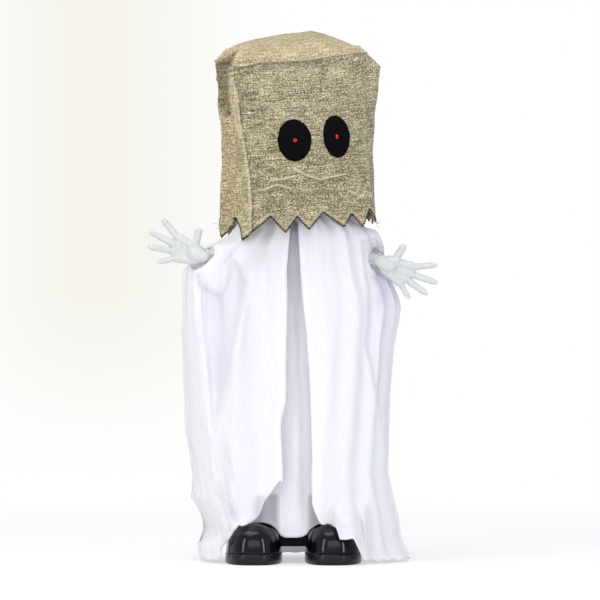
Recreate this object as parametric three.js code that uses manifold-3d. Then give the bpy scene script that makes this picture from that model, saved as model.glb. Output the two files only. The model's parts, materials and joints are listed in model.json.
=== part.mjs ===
// An animated ghost figure with a sack over its head: a free-standing seasonal decoration, 0.9 m tall.
// Two hollow boots on a steel base frame carry leg tubes, a hip block and a spine. The spine carries a
// gear housing, whose motor turns the head from side to side through a pinion and a sector gear.
// Millimetres, +Z up. The figure faces -Y. It is built about the neck's axis, and then moved so that the
// origin is the middle of the overall box, on the floor.
// Right and left are the figure's own: its right hand is at -X.
import * as THREE from "three";
import { mergeVertices } from "three/addons/utils/BufferGeometryUtils.js";
import Module from "manifold-3d";

const wasm = await Module();
wasm.setup();

// Clearances
const seat = 0.3; // between two pieces that touch in the real object
const running = 0.4; // radial, between a turning piece and its bearing
const slip = 0.3; // radial, between a tube and what it slips over or into

// Boots and base frame
const stance = 68; // from the figure's middle to the middle of a boot
const soleHeight = 19;
const soleHalfWidth = 49;
const soleFront = -128;
const soleBack = 50;
const soleBevel = 4;
const bootWall = 3;
const toeHalfWidth = 46;
const toeFront = -123;
const toeBack = 33;
const toeTop = 72;
const shaftTop = 113;
const shaftHalfWidthLow = 47;
const shaftHalfWidthTop = 40;
const shaftHalfDepthLow = 43;
const shaftHalfDepthTop = 38;
const shaftMiddle = 4; // how far back the boot shaft's middle lies
const shaftLip = 2;
const shaftLipHeight = 6;
const barSize = 20; // the square tube across the base
const barWall = 2;
const barHalfLength = 98;
const footPlateThickness = 6;
const footPlateHalfWidth = 32;
const footPlateHalfDepth = 28;
const spigotRadius = 7.5;
const spigotHeight = 70;

// Legs, hips and spine
const tubeWall = 1.5;
const legRadius = spigotRadius + slip + tubeWall;
const hipBottom = 318;
const hipHeight = 54;
const hipHalfWidth = 88;
const hipHalfDepth = 20;
const hipSocketDepth = 30;
const hipPocketDepth = 8;
const hipPocketRim = 7;
const spineRadius = 11;
const spineSocketDepth = 32;

// Gear housing
const housingBottom = 452;
const housingTop = 572;
const housingHalfWidth = 70;
const housingHalfDepth = 36;
const housingWall = 3;
const housingCorner = 14;
const housingScrewInset = 9;
const housingScrewRadius = 1.8;
const housingBossRadius = 4.5;
const screwHeadRadius = 3.4;
const screwHeadHeight = 2;
const spineSeatDepth = 14; // how far the spine tube stands into the housing

// Neck drive
const gearModule = 1.5;
const sectorTeethFull = 44; // teeth that a whole wheel of this size would have
const sectorTeeth = 10;
const pinionTeeth = 12;
const gearWidth = 10;
const gearBacklash = 0.35;
const gearBottom = 540;
const pressureAngle = THREE.MathUtils.degToRad(20);
const neckRadius = 5;
const neckProud = 6; // how far the neck shaft stands above the head plate
const neckWall = 1.2;
const hubRadius = 10;
const bracketThickness = 2.5;
const bracketHalfDepth = 17;
const motorRadius = 14;
const motorLength = 34;
const gearboxHalfWidth = 21;
const gearboxHalfDepth = 16;
const gearboxHeight = 22;
const motorShaftRadius = 3;
const bushWall = 3;
const bushFlange = 4;
const bushFlangeHeight = 3;

// Arms and hands
const shoulderRise = 85; // of the shoulders above the gear housing's foot
const socketReach = 24;
const socketWall = 3;
const socketFlangeHalf = 15;
const socketFlangeThickness = 3;
const armRadius = 6;
const wristOut = [-154, 150]; // the right wrist, then the left one
const wristForward = [-44, -44];
const wristHeight = [523, 515];
const handScale = 1;
const handBore = 16;

// Head and sack
const headYaw = THREE.MathUtils.degToRad(16); // how far the head stands turned to its left
const sackShift = 7; // how far the sack hangs over to the figure's left
const sackHem = 579;
const sackSeam = 861;
const sackDome = 53;
const sackWall = 3;
const sackCorner = 24;
const sackSlant = 0.095; // rise per millimetre towards the figure's left: the sack hangs askew
const slantFade = 0.56; // share of the sack's height above which its slant fades out
const hemTeeth = 16;
const hemToothDepth = 13;
const formGap = 0.6;
const formWall = 2.5;
const formBelowEyes = 32.2; // from the eyes' middle down to the lower edge of the form
const headPlateThickness = 4;
const headHubHeight = 22;
const headHubFlange = 30;
const headHubFlangeThickness = 4;
const eyeApart = 37.2; // from the face's middle to an eye's middle
const eyeHeight = 724;
const eyeHalfWidth = 28;
const eyeHalfHeight = 36;
const patchThickness = 1.6;
const ledRadius = 2.5;
const ledLength = 15;
const ledProud = 3;
const holderWall = 2.5;
const holderLength = 7;
const leadRadius = 1.5;

// Robe: widths and depths by height, top first
const clothWall = 2;
const robeTop = 588;
const neckbandRadius = 36;
const neckbandWall = 3;
const neckbandHeight = 10;
const foldTop = 560; // the folds fade out towards this height
const robeFloor = 4;
const clothRoundness = 2.5; // 2 would make each section an ellipse
const swagTop = 500;
const swagBottom = 225;
const swagMiddleTop = 128;
const swagMiddleBottom = 136;
const swagHalfWidth = 46;
const swagDepth = 20;
const armholeRadius = 16;
const cuffHoleRadius = 21;
const cuffRadius = 14;
const cuffThickness = 4;
const cuffLength = 9;

// Control box on the spine
const boxBottom = 374;
const boxHeight = 70;
const boxDepth = 38;
const boxWall = 2;
const batteryRadius = 7.2;
const batteryLength = 50;
const batteryPitch = 15;
const batteryCount = 3;
const doorThickness = 2.5;
const doorMargin = 3;
const hingeRadius = 2.6;
const hingePinRadius = 1;
const switchTravel = 3;
const switchHalfWidth = 3;
const switchProud = 2.5;
const buttonRadius = 4.5;
const buttonProud = 2.5;
const batterySpring = 4; // at each end of a cell
const speakerRadius = 17;
const speakerDepth = 11;
const speakerClearance = 1.7; // from the battery bay
const grilleHoleRadius = 1.6;
const boardThickness = 1.6;
const harnessRadius = 2;

// Worked out from the sizes above
const barBottom = soleHeight + footPlateThickness;
const barTop = barBottom + barSize;
const hipTop = hipBottom + hipHeight;
const sectorRadius = (gearModule * sectorTeethFull) / 2;
const pinionRadius = (gearModule * pinionTeeth) / 2;
const driveApart = sectorRadius + pinionRadius;
const bracketTop = gearBottom - 2 * seat;
const bracketBottom = bracketTop - bracketThickness;
const boxFront = spineRadius + seat + boxWall;
const boxBack = boxFront + boxDepth;
const boxTop = boxBottom + boxHeight;
const bayHalfWidth = batteryLength / 2 + batterySpring;
// The speaker stands between the battery bay and the box's side wall
const boxHalfWidth =
  bayHalfWidth + boxWall + speakerClearance + speakerDepth + seat + boxWall;
const shoulderHeight = housingBottom + shoulderRise;

// Materials
const plain = (color, roughness, metalness = 0) =>
  new THREE.MeshStandardMaterial({ color, roughness, metalness });
const bootBlack = plain(0x15161c, 0.22);
const frameBlack = plain(0x0c0b10, 0.5, 0.4);
const tubeGrey = plain(0x9a9ca0, 0.35, 0.9);
const mouldedBlack = plain(0x202124, 0.55);
const mouldedWhite = plain(0xd9dad6, 0.5);
const nylon = plain(0xe8e4d6, 0.5);
const steel = plain(0xb4b6b8, 0.3, 1);
const burlap = plain(0xab9f80, 0.95);
const felt = plain(0x17161a, 0.95);
const sheerWhite = plain(0xf4f5fb, 0.8);
const handWhite = plain(0xdde2dd, 0.45);
const redLens = plain(0xff1010, 0.2);
const wireBlack = plain(0x141414, 0.5);
const batteryLabel = plain(0x3a5f8a, 0.4, 0.3);
const boardGreen = plain(0x1d5a36, 0.5);

// Solids

// A closed manifold solid of a three.js geometry; a profile may run either way round.
function solidOf(geometry) {
  const bare = geometry.index ? geometry.toNonIndexed() : geometry.clone();
  bare.deleteAttribute("normal");
  bare.deleteAttribute("uv");
  const merged = mergeVertices(bare, 1e-4);
  const make = (triVerts) =>
    new wasm.Manifold(
      new wasm.Mesh({
        numProp: 3,
        vertProperties: merged.attributes.position.array,
        triVerts,
      }),
    );
  const triVerts = new Uint32Array(merged.index.array);
  const solid = make(triVerts);
  return solid.volume() < 0 ? make(triVerts.slice().reverse()) : solid;
}

function geometryOf(solid) {
  const found = solid.getMesh();
  const geometry = new THREE.BufferGeometry();
  geometry.setAttribute("position", new THREE.BufferAttribute(found.vertProperties, 3));
  geometry.setIndex(new THREE.BufferAttribute(found.triVerts, 1));
  geometry.computeVertexNormals();
  return geometry;
}

function named(name, solid, material) {
  const mesh = new THREE.Mesh(geometryOf(solid), material);
  mesh.name = name;
  return mesh;
}

function box(x0, x1, y0, y1, z0, z1) {
  const geometry = new THREE.BoxGeometry(x1 - x0, y1 - y0, z1 - z0);
  return solidOf(geometry.translate((x0 + x1) / 2, (y0 + y1) / 2, (z0 + z1) / 2));
}

// Carries a geometry made about +Y onto the line that starts at a point and runs along a direction.
function alongLine(geometry, start, direction) {
  const turn = new THREE.Quaternion().setFromUnitVectors(
    new THREE.Vector3(0, 1, 0),
    direction.clone().normalize(),
  );
  return geometry.applyQuaternion(turn).translate(start.x, start.y, start.z);
}

const point = (x, y, z) => new THREE.Vector3(x, y, z);
const upright = point(0, 0, 1);

// A turned piece: profile holds [radius, distance along the line].
function turned(profile, start, direction = upright, segments = 20) {
  const outline = profile.map(([r, along]) => new THREE.Vector2(r, along));
  return solidOf(alongLine(new THREE.LatheGeometry(outline, segments), start, direction));
}

function rod(start, direction, length, radius, segments = 20) {
  return turned([[0, 0], [radius, 0], [radius, length], [0, length]], start, direction, segments);
}

function pipe(start, direction, length, outer, inner, segments = 20) {
  const profile = [[inner, 0], [outer, 0], [outer, length], [inner, length], [inner, 0]];
  return turned(profile, start, direction, segments);
}

// A flat outline in X and Z, thickened along Y.
function slabOf(shape, y0, y1, steps = 6) {
  const options = { depth: y1 - y0, bevelEnabled: false, curveSegments: steps };
  const geometry = new THREE.ExtrudeGeometry(shape, options);
  return solidOf(geometry.rotateX(Math.PI / 2).translate(0, y1, 0));
}

function roundedShape(x0, x1, z0, z1, r) {
  const shape = new THREE.Shape();
  shape.moveTo(x0 + r, z0).lineTo(x1 - r, z0);
  shape.absarc(x1 - r, z0 + r, r, -Math.PI / 2, 0, false);
  shape.lineTo(x1, z1 - r).absarc(x1 - r, z1 - r, r, 0, Math.PI / 2, false);
  shape.lineTo(x0 + r, z1).absarc(x0 + r, z1 - r, r, Math.PI / 2, Math.PI, false);
  shape.lineTo(x0, z0 + r).absarc(x0 + r, z0 + r, r, Math.PI, 1.5 * Math.PI, false);
  return shape;
}

// Joins rows of points with two triangles for each cell. Rows run round a ring, or across an open sheet.
// Turned over, the same triangles face the other way.
function weave(rows, closed, triangles, over = false) {
  const columns = rows[0].length;
  const push = (a, b, c) => (over ? triangles.push(a, c, b) : triangles.push(a, b, c));
  for (let i = 0; i + 1 < rows.length; i++)
    for (let j = 0; j < (closed ? columns : columns - 1); j++) {
      const next = (j + 1) % columns;
      push(rows[i][j], rows[i][next], rows[i + 1][next]);
      push(rows[i][j], rows[i + 1][next], rows[i + 1][j]);
    }
}

function fan(row, middle, triangles) {
  row.forEach((p, j) => triangles.push(p, row[(j + 1) % row.length], middle));
}

const middleOf = (row) =>
  row.reduce((sum, p) => sum.add(p), point(0, 0, 0)).divideScalar(row.length);

function solidOfTriangles(triangles) {
  return solidOf(new THREE.BufferGeometry().setFromPoints(triangles));
}

// A solid through rings, closed by a fan at each end.
function loft(rings, firstMiddle = middleOf(rings[0]), lastMiddle = middleOf(rings.at(-1))) {
  const triangles = [];
  weave(rings, true, triangles);
  fan(rings.at(-1), lastMiddle, triangles);
  fan([...rings[0]].reverse(), firstMiddle, triangles);
  return solidOfTriangles(triangles);
}

// A wall between an outer and an inner set of rings, open at the first ring and domed over at the last.
function hood(outer, inner, outerApex, innerApex) {
  const triangles = [];
  weave(outer, true, triangles);
  weave(inner, true, triangles, true);
  weave([inner[0], outer[0]], true, triangles);
  fan(outer.at(-1), outerApex, triangles);
  fan([...inner.at(-1)].reverse(), innerApex, triangles);
  return solidOfTriangles(triangles);
}

// Both faces of a wall and its first and last rims.
function facesAndRims(outer, inner, closed) {
  const triangles = [];
  weave(outer, closed, triangles);
  weave(inner, closed, triangles, true);
  weave([outer.at(-1), inner.at(-1)], closed, triangles);
  weave([inner[0], outer[0]], closed, triangles);
  return triangles;
}

// A wall open at both ends.
function sleeve(outer, inner) {
  return solidOfTriangles(facesAndRims(outer, inner, true));
}

// An open sheet of cloth with a thickness, from an outer and an inner grid.
function sheet(outer, inner) {
  const triangles = facesAndRims(outer, inner, false);
  for (const [column, over] of [[0, false], [outer[0].length - 1, true]]) {
    const strip = [outer.map((row) => row[column]), inner.map((row) => row[column])];
    weave(strip, false, triangles, over);
  }
  return solidOfTriangles(triangles);
}

// A value read from a table of [key, value] pairs with rising keys, eased between them.
function tabled(table, key) {
  const at = table.findIndex(([k]) => k >= key);
  if (at <= 0) return at === 0 ? table[0][1] : table.at(-1)[1];
  const [k0, v0] = table[at - 1];
  const [k1, v1] = table[at];
  return THREE.MathUtils.lerp(v0, v1, THREE.MathUtils.smoothstep(key, k0, k1));
}

// A value read from a table of [key, value] pairs with rising keys, in straight lines.
function straight(table, key) {
  const at = table.findIndex(([k]) => k >= key);
  if (at <= 0) return at === 0 ? table[0][1] : table.at(-1)[1];
  const [k0, v0] = table[at - 1];
  const [k1, v1] = table[at];
  return v0 + ((v1 - v0) * (key - k0)) / (k1 - k0);
}

// Boots

// A ring shaped as a superellipse, counter-clockwise from above.
function superellipse(halfWidth, halfDepth, middleY, z, exponent = 2.5, count = 22) {
  const power = (value) => Math.sign(value) * Math.abs(value) ** (2 / exponent);
  return Array.from({ length: count }, (_, i) => {
    const angle = (2 * Math.PI * (i + 0.5)) / count;
    return point(
      halfWidth * power(Math.cos(angle)),
      middleY + halfDepth * power(Math.sin(angle)),
      z,
    );
  });
}

function soleSolid() {
  const middleY = (soleFront + soleBack) / 2;
  const halfDepth = (soleBack - soleFront) / 2;
  const ring = (inset, z) =>
    superellipse(soleHalfWidth - inset, halfDepth - inset, middleY, z, 2.6);
  return loft([
    ring(soleBevel, 0),
    ring(soleBevel / 4, soleBevel),
    ring(0, soleHeight - soleBevel),
    ring(soleBevel / 4, soleHeight),
  ]);
}

// The toe cap: a dome that stands upright at its foot. An inset makes the hollow inside it.
function toeDome(inset, base) {
  const halfLength = (toeBack - toeFront) / 2 - inset;
  const height = toeTop - inset - soleHeight;
  const shares = [0, 0.35, 0.6, 0.78, 0.9, 0.97];
  const rings = shares.map((share) => {
    const k = (1 - share ** 3.4) ** (1 / 3.4);
    const z = share === 0 ? base : soleHeight + share * height;
    return superellipse((toeHalfWidth - inset) * k, halfLength * k, (toeBack + toeFront) / 2, z);
  });
  return loft(rings, undefined, point(0, (toeBack + toeFront) / 2, soleHeight + height));
}

function bootShaft(inset, base, top, lip) {
  const ring = (z, extra) => {
    const share = (z - soleHeight) / (shaftTop - soleHeight);
    const halfWidth = THREE.MathUtils.lerp(shaftHalfWidthLow, shaftHalfWidthTop, share);
    const halfDepth = THREE.MathUtils.lerp(shaftHalfDepthLow, shaftHalfDepthTop, share);
    return superellipse(halfWidth - inset + extra, halfDepth - inset + extra, shaftMiddle, z);
  };
  const lipStart = shaftTop - shaftLipHeight;
  const rings = [ring(base, 0)];
  if (lip > 0) rings.push(ring(lipStart - lip, 0), ring(lipStart, lip));
  rings.push(ring(top, lip));
  return loft(rings);
}

// side is -1 for the figure's right boot and 1 for its left one.
function bootSolid(side) {
  const outer = toeDome(0, soleHeight).add(bootShaft(0, soleHeight, shaftTop, shaftLip));
  const through = soleHeight - bootWall;
  const hollow = toeDome(bootWall, through).add(
    bootShaft(bootWall, through, shaftTop + bootWall, 0),
  );
  const slot = barSize / 2 + slip;
  const inward = -side * (stance - slip);
  return outer
    .subtract(hollow)
    .subtract(
      box(Math.min(0, inward), Math.max(0, inward), -slot, slot, barBottom - slip, barTop + slip),
    );
}

function buildFoot(side, sideName) {
  const foot = new THREE.Group();
  foot.position.x = side * stance;
  foot.add(named("sole_" + sideName, soleSolid(), bootBlack));
  foot.add(named("boot_" + sideName, bootSolid(side), bootBlack));
  return foot;
}

function baseFrameSolid() {
  const half = barSize / 2;
  const inner = half - barWall;
  let frame = box(-barHalfLength, barHalfLength, -half, half, barBottom, barTop).subtract(
    box(-stance * 2, stance * 2, -inner, inner, barBottom + barWall, barTop - barWall),
  );
  for (const side of [-1, 1]) {
    const x = side * stance;
    const plateBottom = soleHeight + seat;
    frame = frame.add(
      box(
        x - footPlateHalfWidth,
        x + footPlateHalfWidth,
        -footPlateHalfDepth,
        footPlateHalfDepth,
        plateBottom,
        barBottom + barWall / 2,
      ),
    );
  }
  return frame;
}

function spigotSolid(side) {
  const start = point(side * stance, 0, barTop + seat);
  return turned(
    [
      [0, 0],
      [spigotRadius, 0],
      [spigotRadius, spigotHeight - 2],
      [spigotRadius - 2, spigotHeight],
      [0, spigotHeight],
    ],
    start,
  );
}

// Legs, hips and spine

function legSolid(side) {
  const bottom = barTop + seat;
  const length = hipBottom + hipSocketDepth - seat - bottom;
  return pipe(point(side * stance, 0, bottom), upright, length, legRadius, legRadius - tubeWall);
}

function hipSolid() {
  const corner = hipHeight * 0.3;
  let block = slabOf(
    roundedShape(-hipHalfWidth, hipHalfWidth, hipBottom, hipTop, corner),
    -hipHalfDepth,
    hipHalfDepth,
  );
  const spineSocket = spineRadius + slip;
  const pocketInner = spineSocket + hipPocketRim;
  const pocketOuter = stance - legRadius - hipPocketRim;
  for (const side of [-1, 1]) {
    block = block.subtract(
      rod(point(side * stance, 0, hipBottom - 1), upright, hipSocketDepth + 1, legRadius + slip),
    );
    const ends = [side * pocketInner, side * pocketOuter].sort((a, b) => a - b);
    for (const face of [-1, 1]) {
      const faces = [face * (hipHalfDepth - hipPocketDepth), face * (hipHalfDepth + 1)];
      faces.sort((a, b) => a - b);
      block = block.subtract(
        box(...ends, ...faces, hipBottom + hipPocketRim, hipTop - hipPocketRim),
      );
    }
  }
  return block.subtract(
    rod(point(0, 0, hipTop - spineSocketDepth), upright, spineSocketDepth + 1, spineSocket),
  );
}

function spineSolid() {
  const bottom = hipTop - spineSocketDepth + seat;
  const length = housingBottom + spineSeatDepth - bottom;
  return pipe(point(0, 0, bottom), upright, length, spineRadius, spineRadius - tubeWall);
}

// Gear housing

const screwPlaces = [-1, 1].flatMap((side) => [
  [side * (housingHalfWidth - housingScrewInset), housingBottom + housingScrewInset],
  [side * (housingHalfWidth - housingScrewInset), housingTop - housingScrewInset],
]);

function housingShell(y0, y1, openSide) {
  const shape = (inset) =>
    roundedShape(
      -housingHalfWidth + inset,
      housingHalfWidth - inset,
      housingBottom + inset,
      housingTop - inset,
      housingCorner - inset,
    );
  const inner0 = openSide < 0 ? y0 - 1 : y0 + housingWall;
  const inner1 = openSide < 0 ? y1 - housingWall : y1 + 1;
  let shell = slabOf(shape(0), y0, y1).subtract(slabOf(shape(housingWall), inner0, inner1));
  for (const [x, z] of screwPlaces) {
    shell = shell.add(rod(point(x, y0, z), point(0, 1, 0), y1 - y0, housingBossRadius, 12));
    shell = shell.subtract(
      rod(point(x, y0 - 1, z), point(0, 1, 0), y1 - y0 + 2, housingScrewRadius + seat, 10),
    );
  }
  return shell
    .subtract(
      rod(point(0, 0, housingBottom - 1), upright, spineSeatDepth + 1, spineRadius + slip),
    )
    .subtract(
      rod(point(0, 0, housingTop - 2 * housingWall), upright, 3 * housingWall,
        neckRadius + running + bushWall + slip),
    )
    .subtract(harnessHole());
}

const harnessPlace = point(28, 24, boxTop);

function harnessHole() {
  return rod(
    point(harnessPlace.x, harnessPlace.y, housingBottom - 1),
    upright,
    housingWall + 2,
    harnessRadius + slip,
    10,
  );
}

function screwSolid(x, z) {
  const front = -housingHalfDepth - seat;
  const length = 2 * housingHalfDepth - housingWall;
  return turned(
    [
      [0, -screwHeadHeight],
      [screwHeadRadius * 0.7, -screwHeadHeight],
      [screwHeadRadius, 0],
      [housingScrewRadius, 0],
      [housingScrewRadius, length],
      [0, length + housingScrewRadius],
    ],
    point(x, front, z),
    point(0, 1, 0),
    12,
  );
}

function bracketSolid() {
  const flangeBack = housingHalfDepth - housingWall - seat;
  const left = -driveApart - gearboxHalfWidth;
  const right = hubRadius + bracketThickness;
  const plate = box(left, right, -bracketHalfDepth, flangeBack, bracketBottom, bracketTop);
  const flange = box(
    left,
    right,
    flangeBack - bracketThickness,
    flangeBack,
    bracketBottom - gearboxHeight,
    bracketTop,
  );
  return plate
    .add(flange)
    .subtract(rod(point(0, 0, bracketBottom - 1), upright, 2 * bracketThickness, neckRadius + running))
    .subtract(
      rod(point(-driveApart, 0, bracketBottom - 1), upright, 2 * bracketThickness,
        motorShaftRadius + running),
    );
}

function gearmotorSolid() {
  const top = bracketBottom - seat;
  const gearbox = box(
    -driveApart - gearboxHalfWidth,
    -driveApart + gearboxHalfWidth,
    -gearboxHalfDepth,
    gearboxHalfDepth,
    top - gearboxHeight,
    top,
  );
  const can = turned(
    [
      [0, 0],
      [motorRadius * 0.35, 0],
      [motorRadius * 0.35, 2],
      [motorRadius * 0.9, 2],
      [motorRadius, 3.5],
      [motorRadius, motorLength + 1],
      [0, motorLength + 1],
    ],
    point(-driveApart, 0, top - gearboxHeight - motorLength),
  );
  const shaftHole = rod(
    point(-driveApart, 0, top - gearboxHeight / 2),
    upright,
    gearboxHeight,
    motorShaftRadius + running,
    16,
  );
  return gearbox.add(can).subtract(shaftHole);
}

// Gears

const involute = (angle) => Math.tan(angle) - angle;

// One tooth's outline as [radius, angle], from root to root about its middle line.
function toothOutline(teeth) {
  const pitch = (gearModule * teeth) / 2;
  const base = pitch * Math.cos(pressureAngle);
  const root = pitch - 1.3 * gearModule;
  const tip = pitch + 0.9 * gearModule;
  const halfAtPitch = Math.PI / (2 * teeth) - gearBacklash / 4 / pitch;
  const halfAt = (r) =>
    halfAtPitch + involute(pressureAngle) - involute(Math.acos(Math.min(1, base / r)));
  const radii = [0, 0.33, 0.66, 1].map((k) => THREE.MathUtils.lerp(Math.max(base, root), tip, k));
  const rise = radii.map((r) => [r, -halfAt(r)]);
  return [[root, -halfAt(radii[0])], ...rise, ...rise.map(([r, a]) => [r, -a]).reverse(),
    [root, halfAt(radii[0])]];
}

// Teeth numbered from first to last, with tooth 0 centred on the angle given.
function gearShape(teeth, angle, first, last, back) {
  const shape = new THREE.Shape();
  const place = (r, a) => [r * Math.cos(a), r * Math.sin(a)];
  const pitchAngle = (2 * Math.PI) / teeth;
  const outline = [];
  for (let k = first; k <= last; k++)
    for (const [r, a] of toothOutline(teeth)) outline.push(place(r, angle + k * pitchAngle + a));
  if (back) outline.push(...back.map(([r, a]) => place(r, a)));
  shape.setFromPoints(outline.map(([x, y]) => new THREE.Vector2(x, y)));
  return shape;
}

function gearBlank(shape) {
  const options = { depth: gearWidth, bevelEnabled: false, curveSegments: 4 };
  return solidOf(new THREE.ExtrudeGeometry(shape, options).translate(0, 0, gearBottom));
}

const towardsPinion = Math.PI;

// The sector faces the pinion when the head looks straight ahead, so it stands turned with the head.
function sectorSolid() {
  const half = (sectorTeeth - 1) / 2;
  const pitchAngle = (2 * Math.PI) / sectorTeethFull;
  const angle = towardsPinion - pitchAngle / 2;
  const armAngle = 0.5 * Math.PI;
  const first = -Math.floor(half);
  const last = first + sectorTeeth - 1;
  const blank = gearBlank(
    gearShape(sectorTeethFull, angle, first, last, [
      [hubRadius, angle + last * pitchAngle + armAngle],
      [hubRadius, angle + first * pitchAngle - armAngle],
    ]),
  );
  const hub = rod(point(0, 0, gearBottom - seat), upright, gearWidth + 3, hubRadius);
  const window = sectorWindow(angle + ((first + last) / 2) * pitchAngle);
  return blank
    .subtract(window)
    .add(hub)
    .subtract(rod(point(0, 0, gearBottom - 5), upright, gearWidth + 15, neckRadius + slip));
}

// A lightening window between the sector's hub and its rim.
function sectorWindow(middle) {
  const rimInner = sectorRadius - 3.2 * gearModule;
  const hubOuter = hubRadius + 2.5;
  const halfAngle = 0.5;
  const shape = new THREE.Shape();
  shape.absarc(0, 0, rimInner, middle - halfAngle, middle + halfAngle, false);
  shape.absarc(0, 0, hubOuter, middle + halfAngle * 0.6, middle - halfAngle * 0.6, true);
  const options = { depth: gearWidth + 2, bevelEnabled: false, curveSegments: 8 };
  return solidOf(new THREE.ExtrudeGeometry(shape, options).translate(0, 0, gearBottom - 1));
}

// The pinion on the motor's output shaft, with a tooth space towards the sector's nearest tooth.
function pinionSolid() {
  const sectorPhase = towardsPinion - Math.PI / sectorTeethFull + headYaw;
  const pitchAngle = (2 * Math.PI) / sectorTeethFull;
  const offset = THREE.MathUtils.euclideanModulo(sectorPhase - Math.PI, pitchAngle);
  const turn = (-offset * sectorTeethFull) / pinionTeeth;
  const spaceFacing = turn + Math.PI / pinionTeeth;
  const wheel = gearBlank(gearShape(pinionTeeth, spaceFacing, 0, pinionTeeth - 1, null));
  const shaftBottom = bracketBottom - gearboxHeight / 2 + seat;
  const shaftLength = gearBottom + gearWidth + 2 - shaftBottom;
  return wheel.add(rod(point(0, 0, shaftBottom), upright, shaftLength, motorShaftRadius, 16));
}

function neckBushSolid() {
  const inner = neckRadius + running;
  const outer = inner + bushWall;
  const bottom = housingTop - 2 * housingWall;
  return turned(
    [
      [inner, 0],
      [outer, 0],
      [outer, 2 * housingWall + seat],
      [outer + bushFlange, 2 * housingWall + seat],
      [outer + bushFlange, 2 * housingWall + seat + bushFlangeHeight],
      [inner, 2 * housingWall + seat + bushFlangeHeight],
      [inner, 0],
    ],
    point(0, 0, bottom),
  );
}

function neckShaftSolid() {
  const bottom = bracketBottom - 5;
  const length = headPlateTop + neckProud - bottom;
  return pipe(point(0, 0, bottom), upright, length, neckRadius, neckRadius - neckWall);
}

function clipSolid() {
  return pipe(
    point(0, 0, bracketBottom - seat - 2),
    upright,
    2,
    neckRadius + 3,
    neckRadius + seat,
    16,
  );
}

// Arms and hands

const wrists = [0, 1].map((i) => point(wristOut[i], wristForward[i], wristHeight[i]));
const shoulders = [-1, 1].map((side) =>
  point(side * (housingHalfWidth + seat), 0, shoulderHeight),
);
const armDirections = wrists.map((wrist, i) => wrist.clone().sub(shoulders[i]).normalize());

function socketSolid(i) {
  const side = i === 0 ? -1 : 1;
  const start = shoulders[i];
  const ends = [start.x, start.x + side * socketFlangeThickness].sort((a, b) => a - b);
  const flange = box(
    ...ends,
    -socketFlangeHalf,
    socketFlangeHalf,
    shoulderHeight - socketFlangeHalf,
    shoulderHeight + socketFlangeHalf,
  );
  const outer = armRadius + slip + socketWall;
  const beyond = box(
    ...[side * housingHalfWidth * 2, start.x].sort((a, b) => a - b),
    -80,
    80,
    shoulderHeight - 80,
    shoulderHeight + 80,
  );
  const deep = start.clone().addScaledVector(armDirections[i], -socketReach);
  const boss = rod(deep, armDirections[i], 2 * socketReach, outer).intersect(beyond);
  const bored = start.clone().addScaledVector(armDirections[i], socketReach * 0.5);
  return flange.add(boss).subtract(rod(bored, armDirections[i], socketReach, armRadius + slip));
}

function armSolid(i) {
  const start = shoulders[i].clone().addScaledVector(armDirections[i], socketReach * 0.5 + seat);
  const end = wrists[i].clone().addScaledVector(armDirections[i], handBore - seat);
  return pipe(start, armDirections[i], start.distanceTo(end), armRadius, armRadius - tubeWall, 16);
}

// A finger: a tapering rod of two segments with rounded ends. Angles are in the palm's plane.
function fingerSolid({ base, angle, length, radius, curl }) {
  const along = point(Math.cos(angle), Math.sin(angle), 0);
  const bent = point(
    Math.cos(angle) * Math.cos(curl),
    Math.sin(angle) * Math.cos(curl),
    Math.sin(curl),
  );
  const knuckle = base.clone().addScaledVector(along, length * 0.5);
  const upper = length * 0.5 - radius * 0.85;
  const tip = radius * 0.85;
  const first = turned(
    [[0, -radius], [radius * 0.8, -radius * 0.6], [radius, 0], [radius * 0.93, length * 0.5],
      [0, length * 0.5 + radius * 0.6]],
    base, along, 8,
  );
  const second = turned(
    [[0, -radius * 0.8], [radius * 0.93, 0], [tip, upper], [tip * 0.72, upper + tip * 0.7],
      [0, upper + tip]],
    knuckle, bent, 8,
  );
  return first.add(second);
}

const degrees = THREE.MathUtils.degToRad;
const fingers = [
  { base: point(54, 19, 0), angle: degrees(33), length: 40, radius: 5.2, curl: degrees(8) },
  { base: point(60, 6.5, 0), angle: degrees(9), length: 43, radius: 5.3, curl: degrees(4) },
  { base: point(56, -6.5, 0), angle: degrees(-8), length: 41, radius: 5.2, curl: degrees(5) },
  { base: point(46, -17, 0), angle: degrees(-31), length: 32, radius: 4.5, curl: degrees(10) },
  { base: point(20, 15, 5), angle: degrees(86), length: 31, radius: 6.4, curl: degrees(14) },
];

// The hand in its own frame: the wrist at the origin, the fingers along +X, the thumb towards +Y and
// the palm facing +Z.
function handSolid() {
  const section = (x, halfWidth, halfDepth, middleY, middleZ) =>
    Array.from({ length: 12 }, (_, i) => {
      const angle = (2 * Math.PI * i) / 12;
      return point(
        x,
        middleY + halfWidth * Math.cos(angle),
        middleZ + halfDepth * Math.sin(angle),
      );
    });
  let hand = loft([
    section(-8, 12.5, 10, 0, 0),
    section(6, 12, 9.5, 0, 0),
    section(20, 17, 9, 0, 0),
    section(38, 22.5, 8.5, 1, 0),
    section(54, 22, 7.5, 2, 0),
    section(63, 15, 5, 3, 0),
  ]);
  const thumbPad = loft([
    section(4, 5, 4, 6, 4),
    section(14, 9, 7, 9, 5),
    section(28, 9, 7, 12, 5),
    section(40, 4, 3, 13, 4),
  ]);
  hand = hand.add(thumbPad);
  for (const finger of fingers) hand = hand.add(fingerSolid(finger));
  return hand;
}

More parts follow.
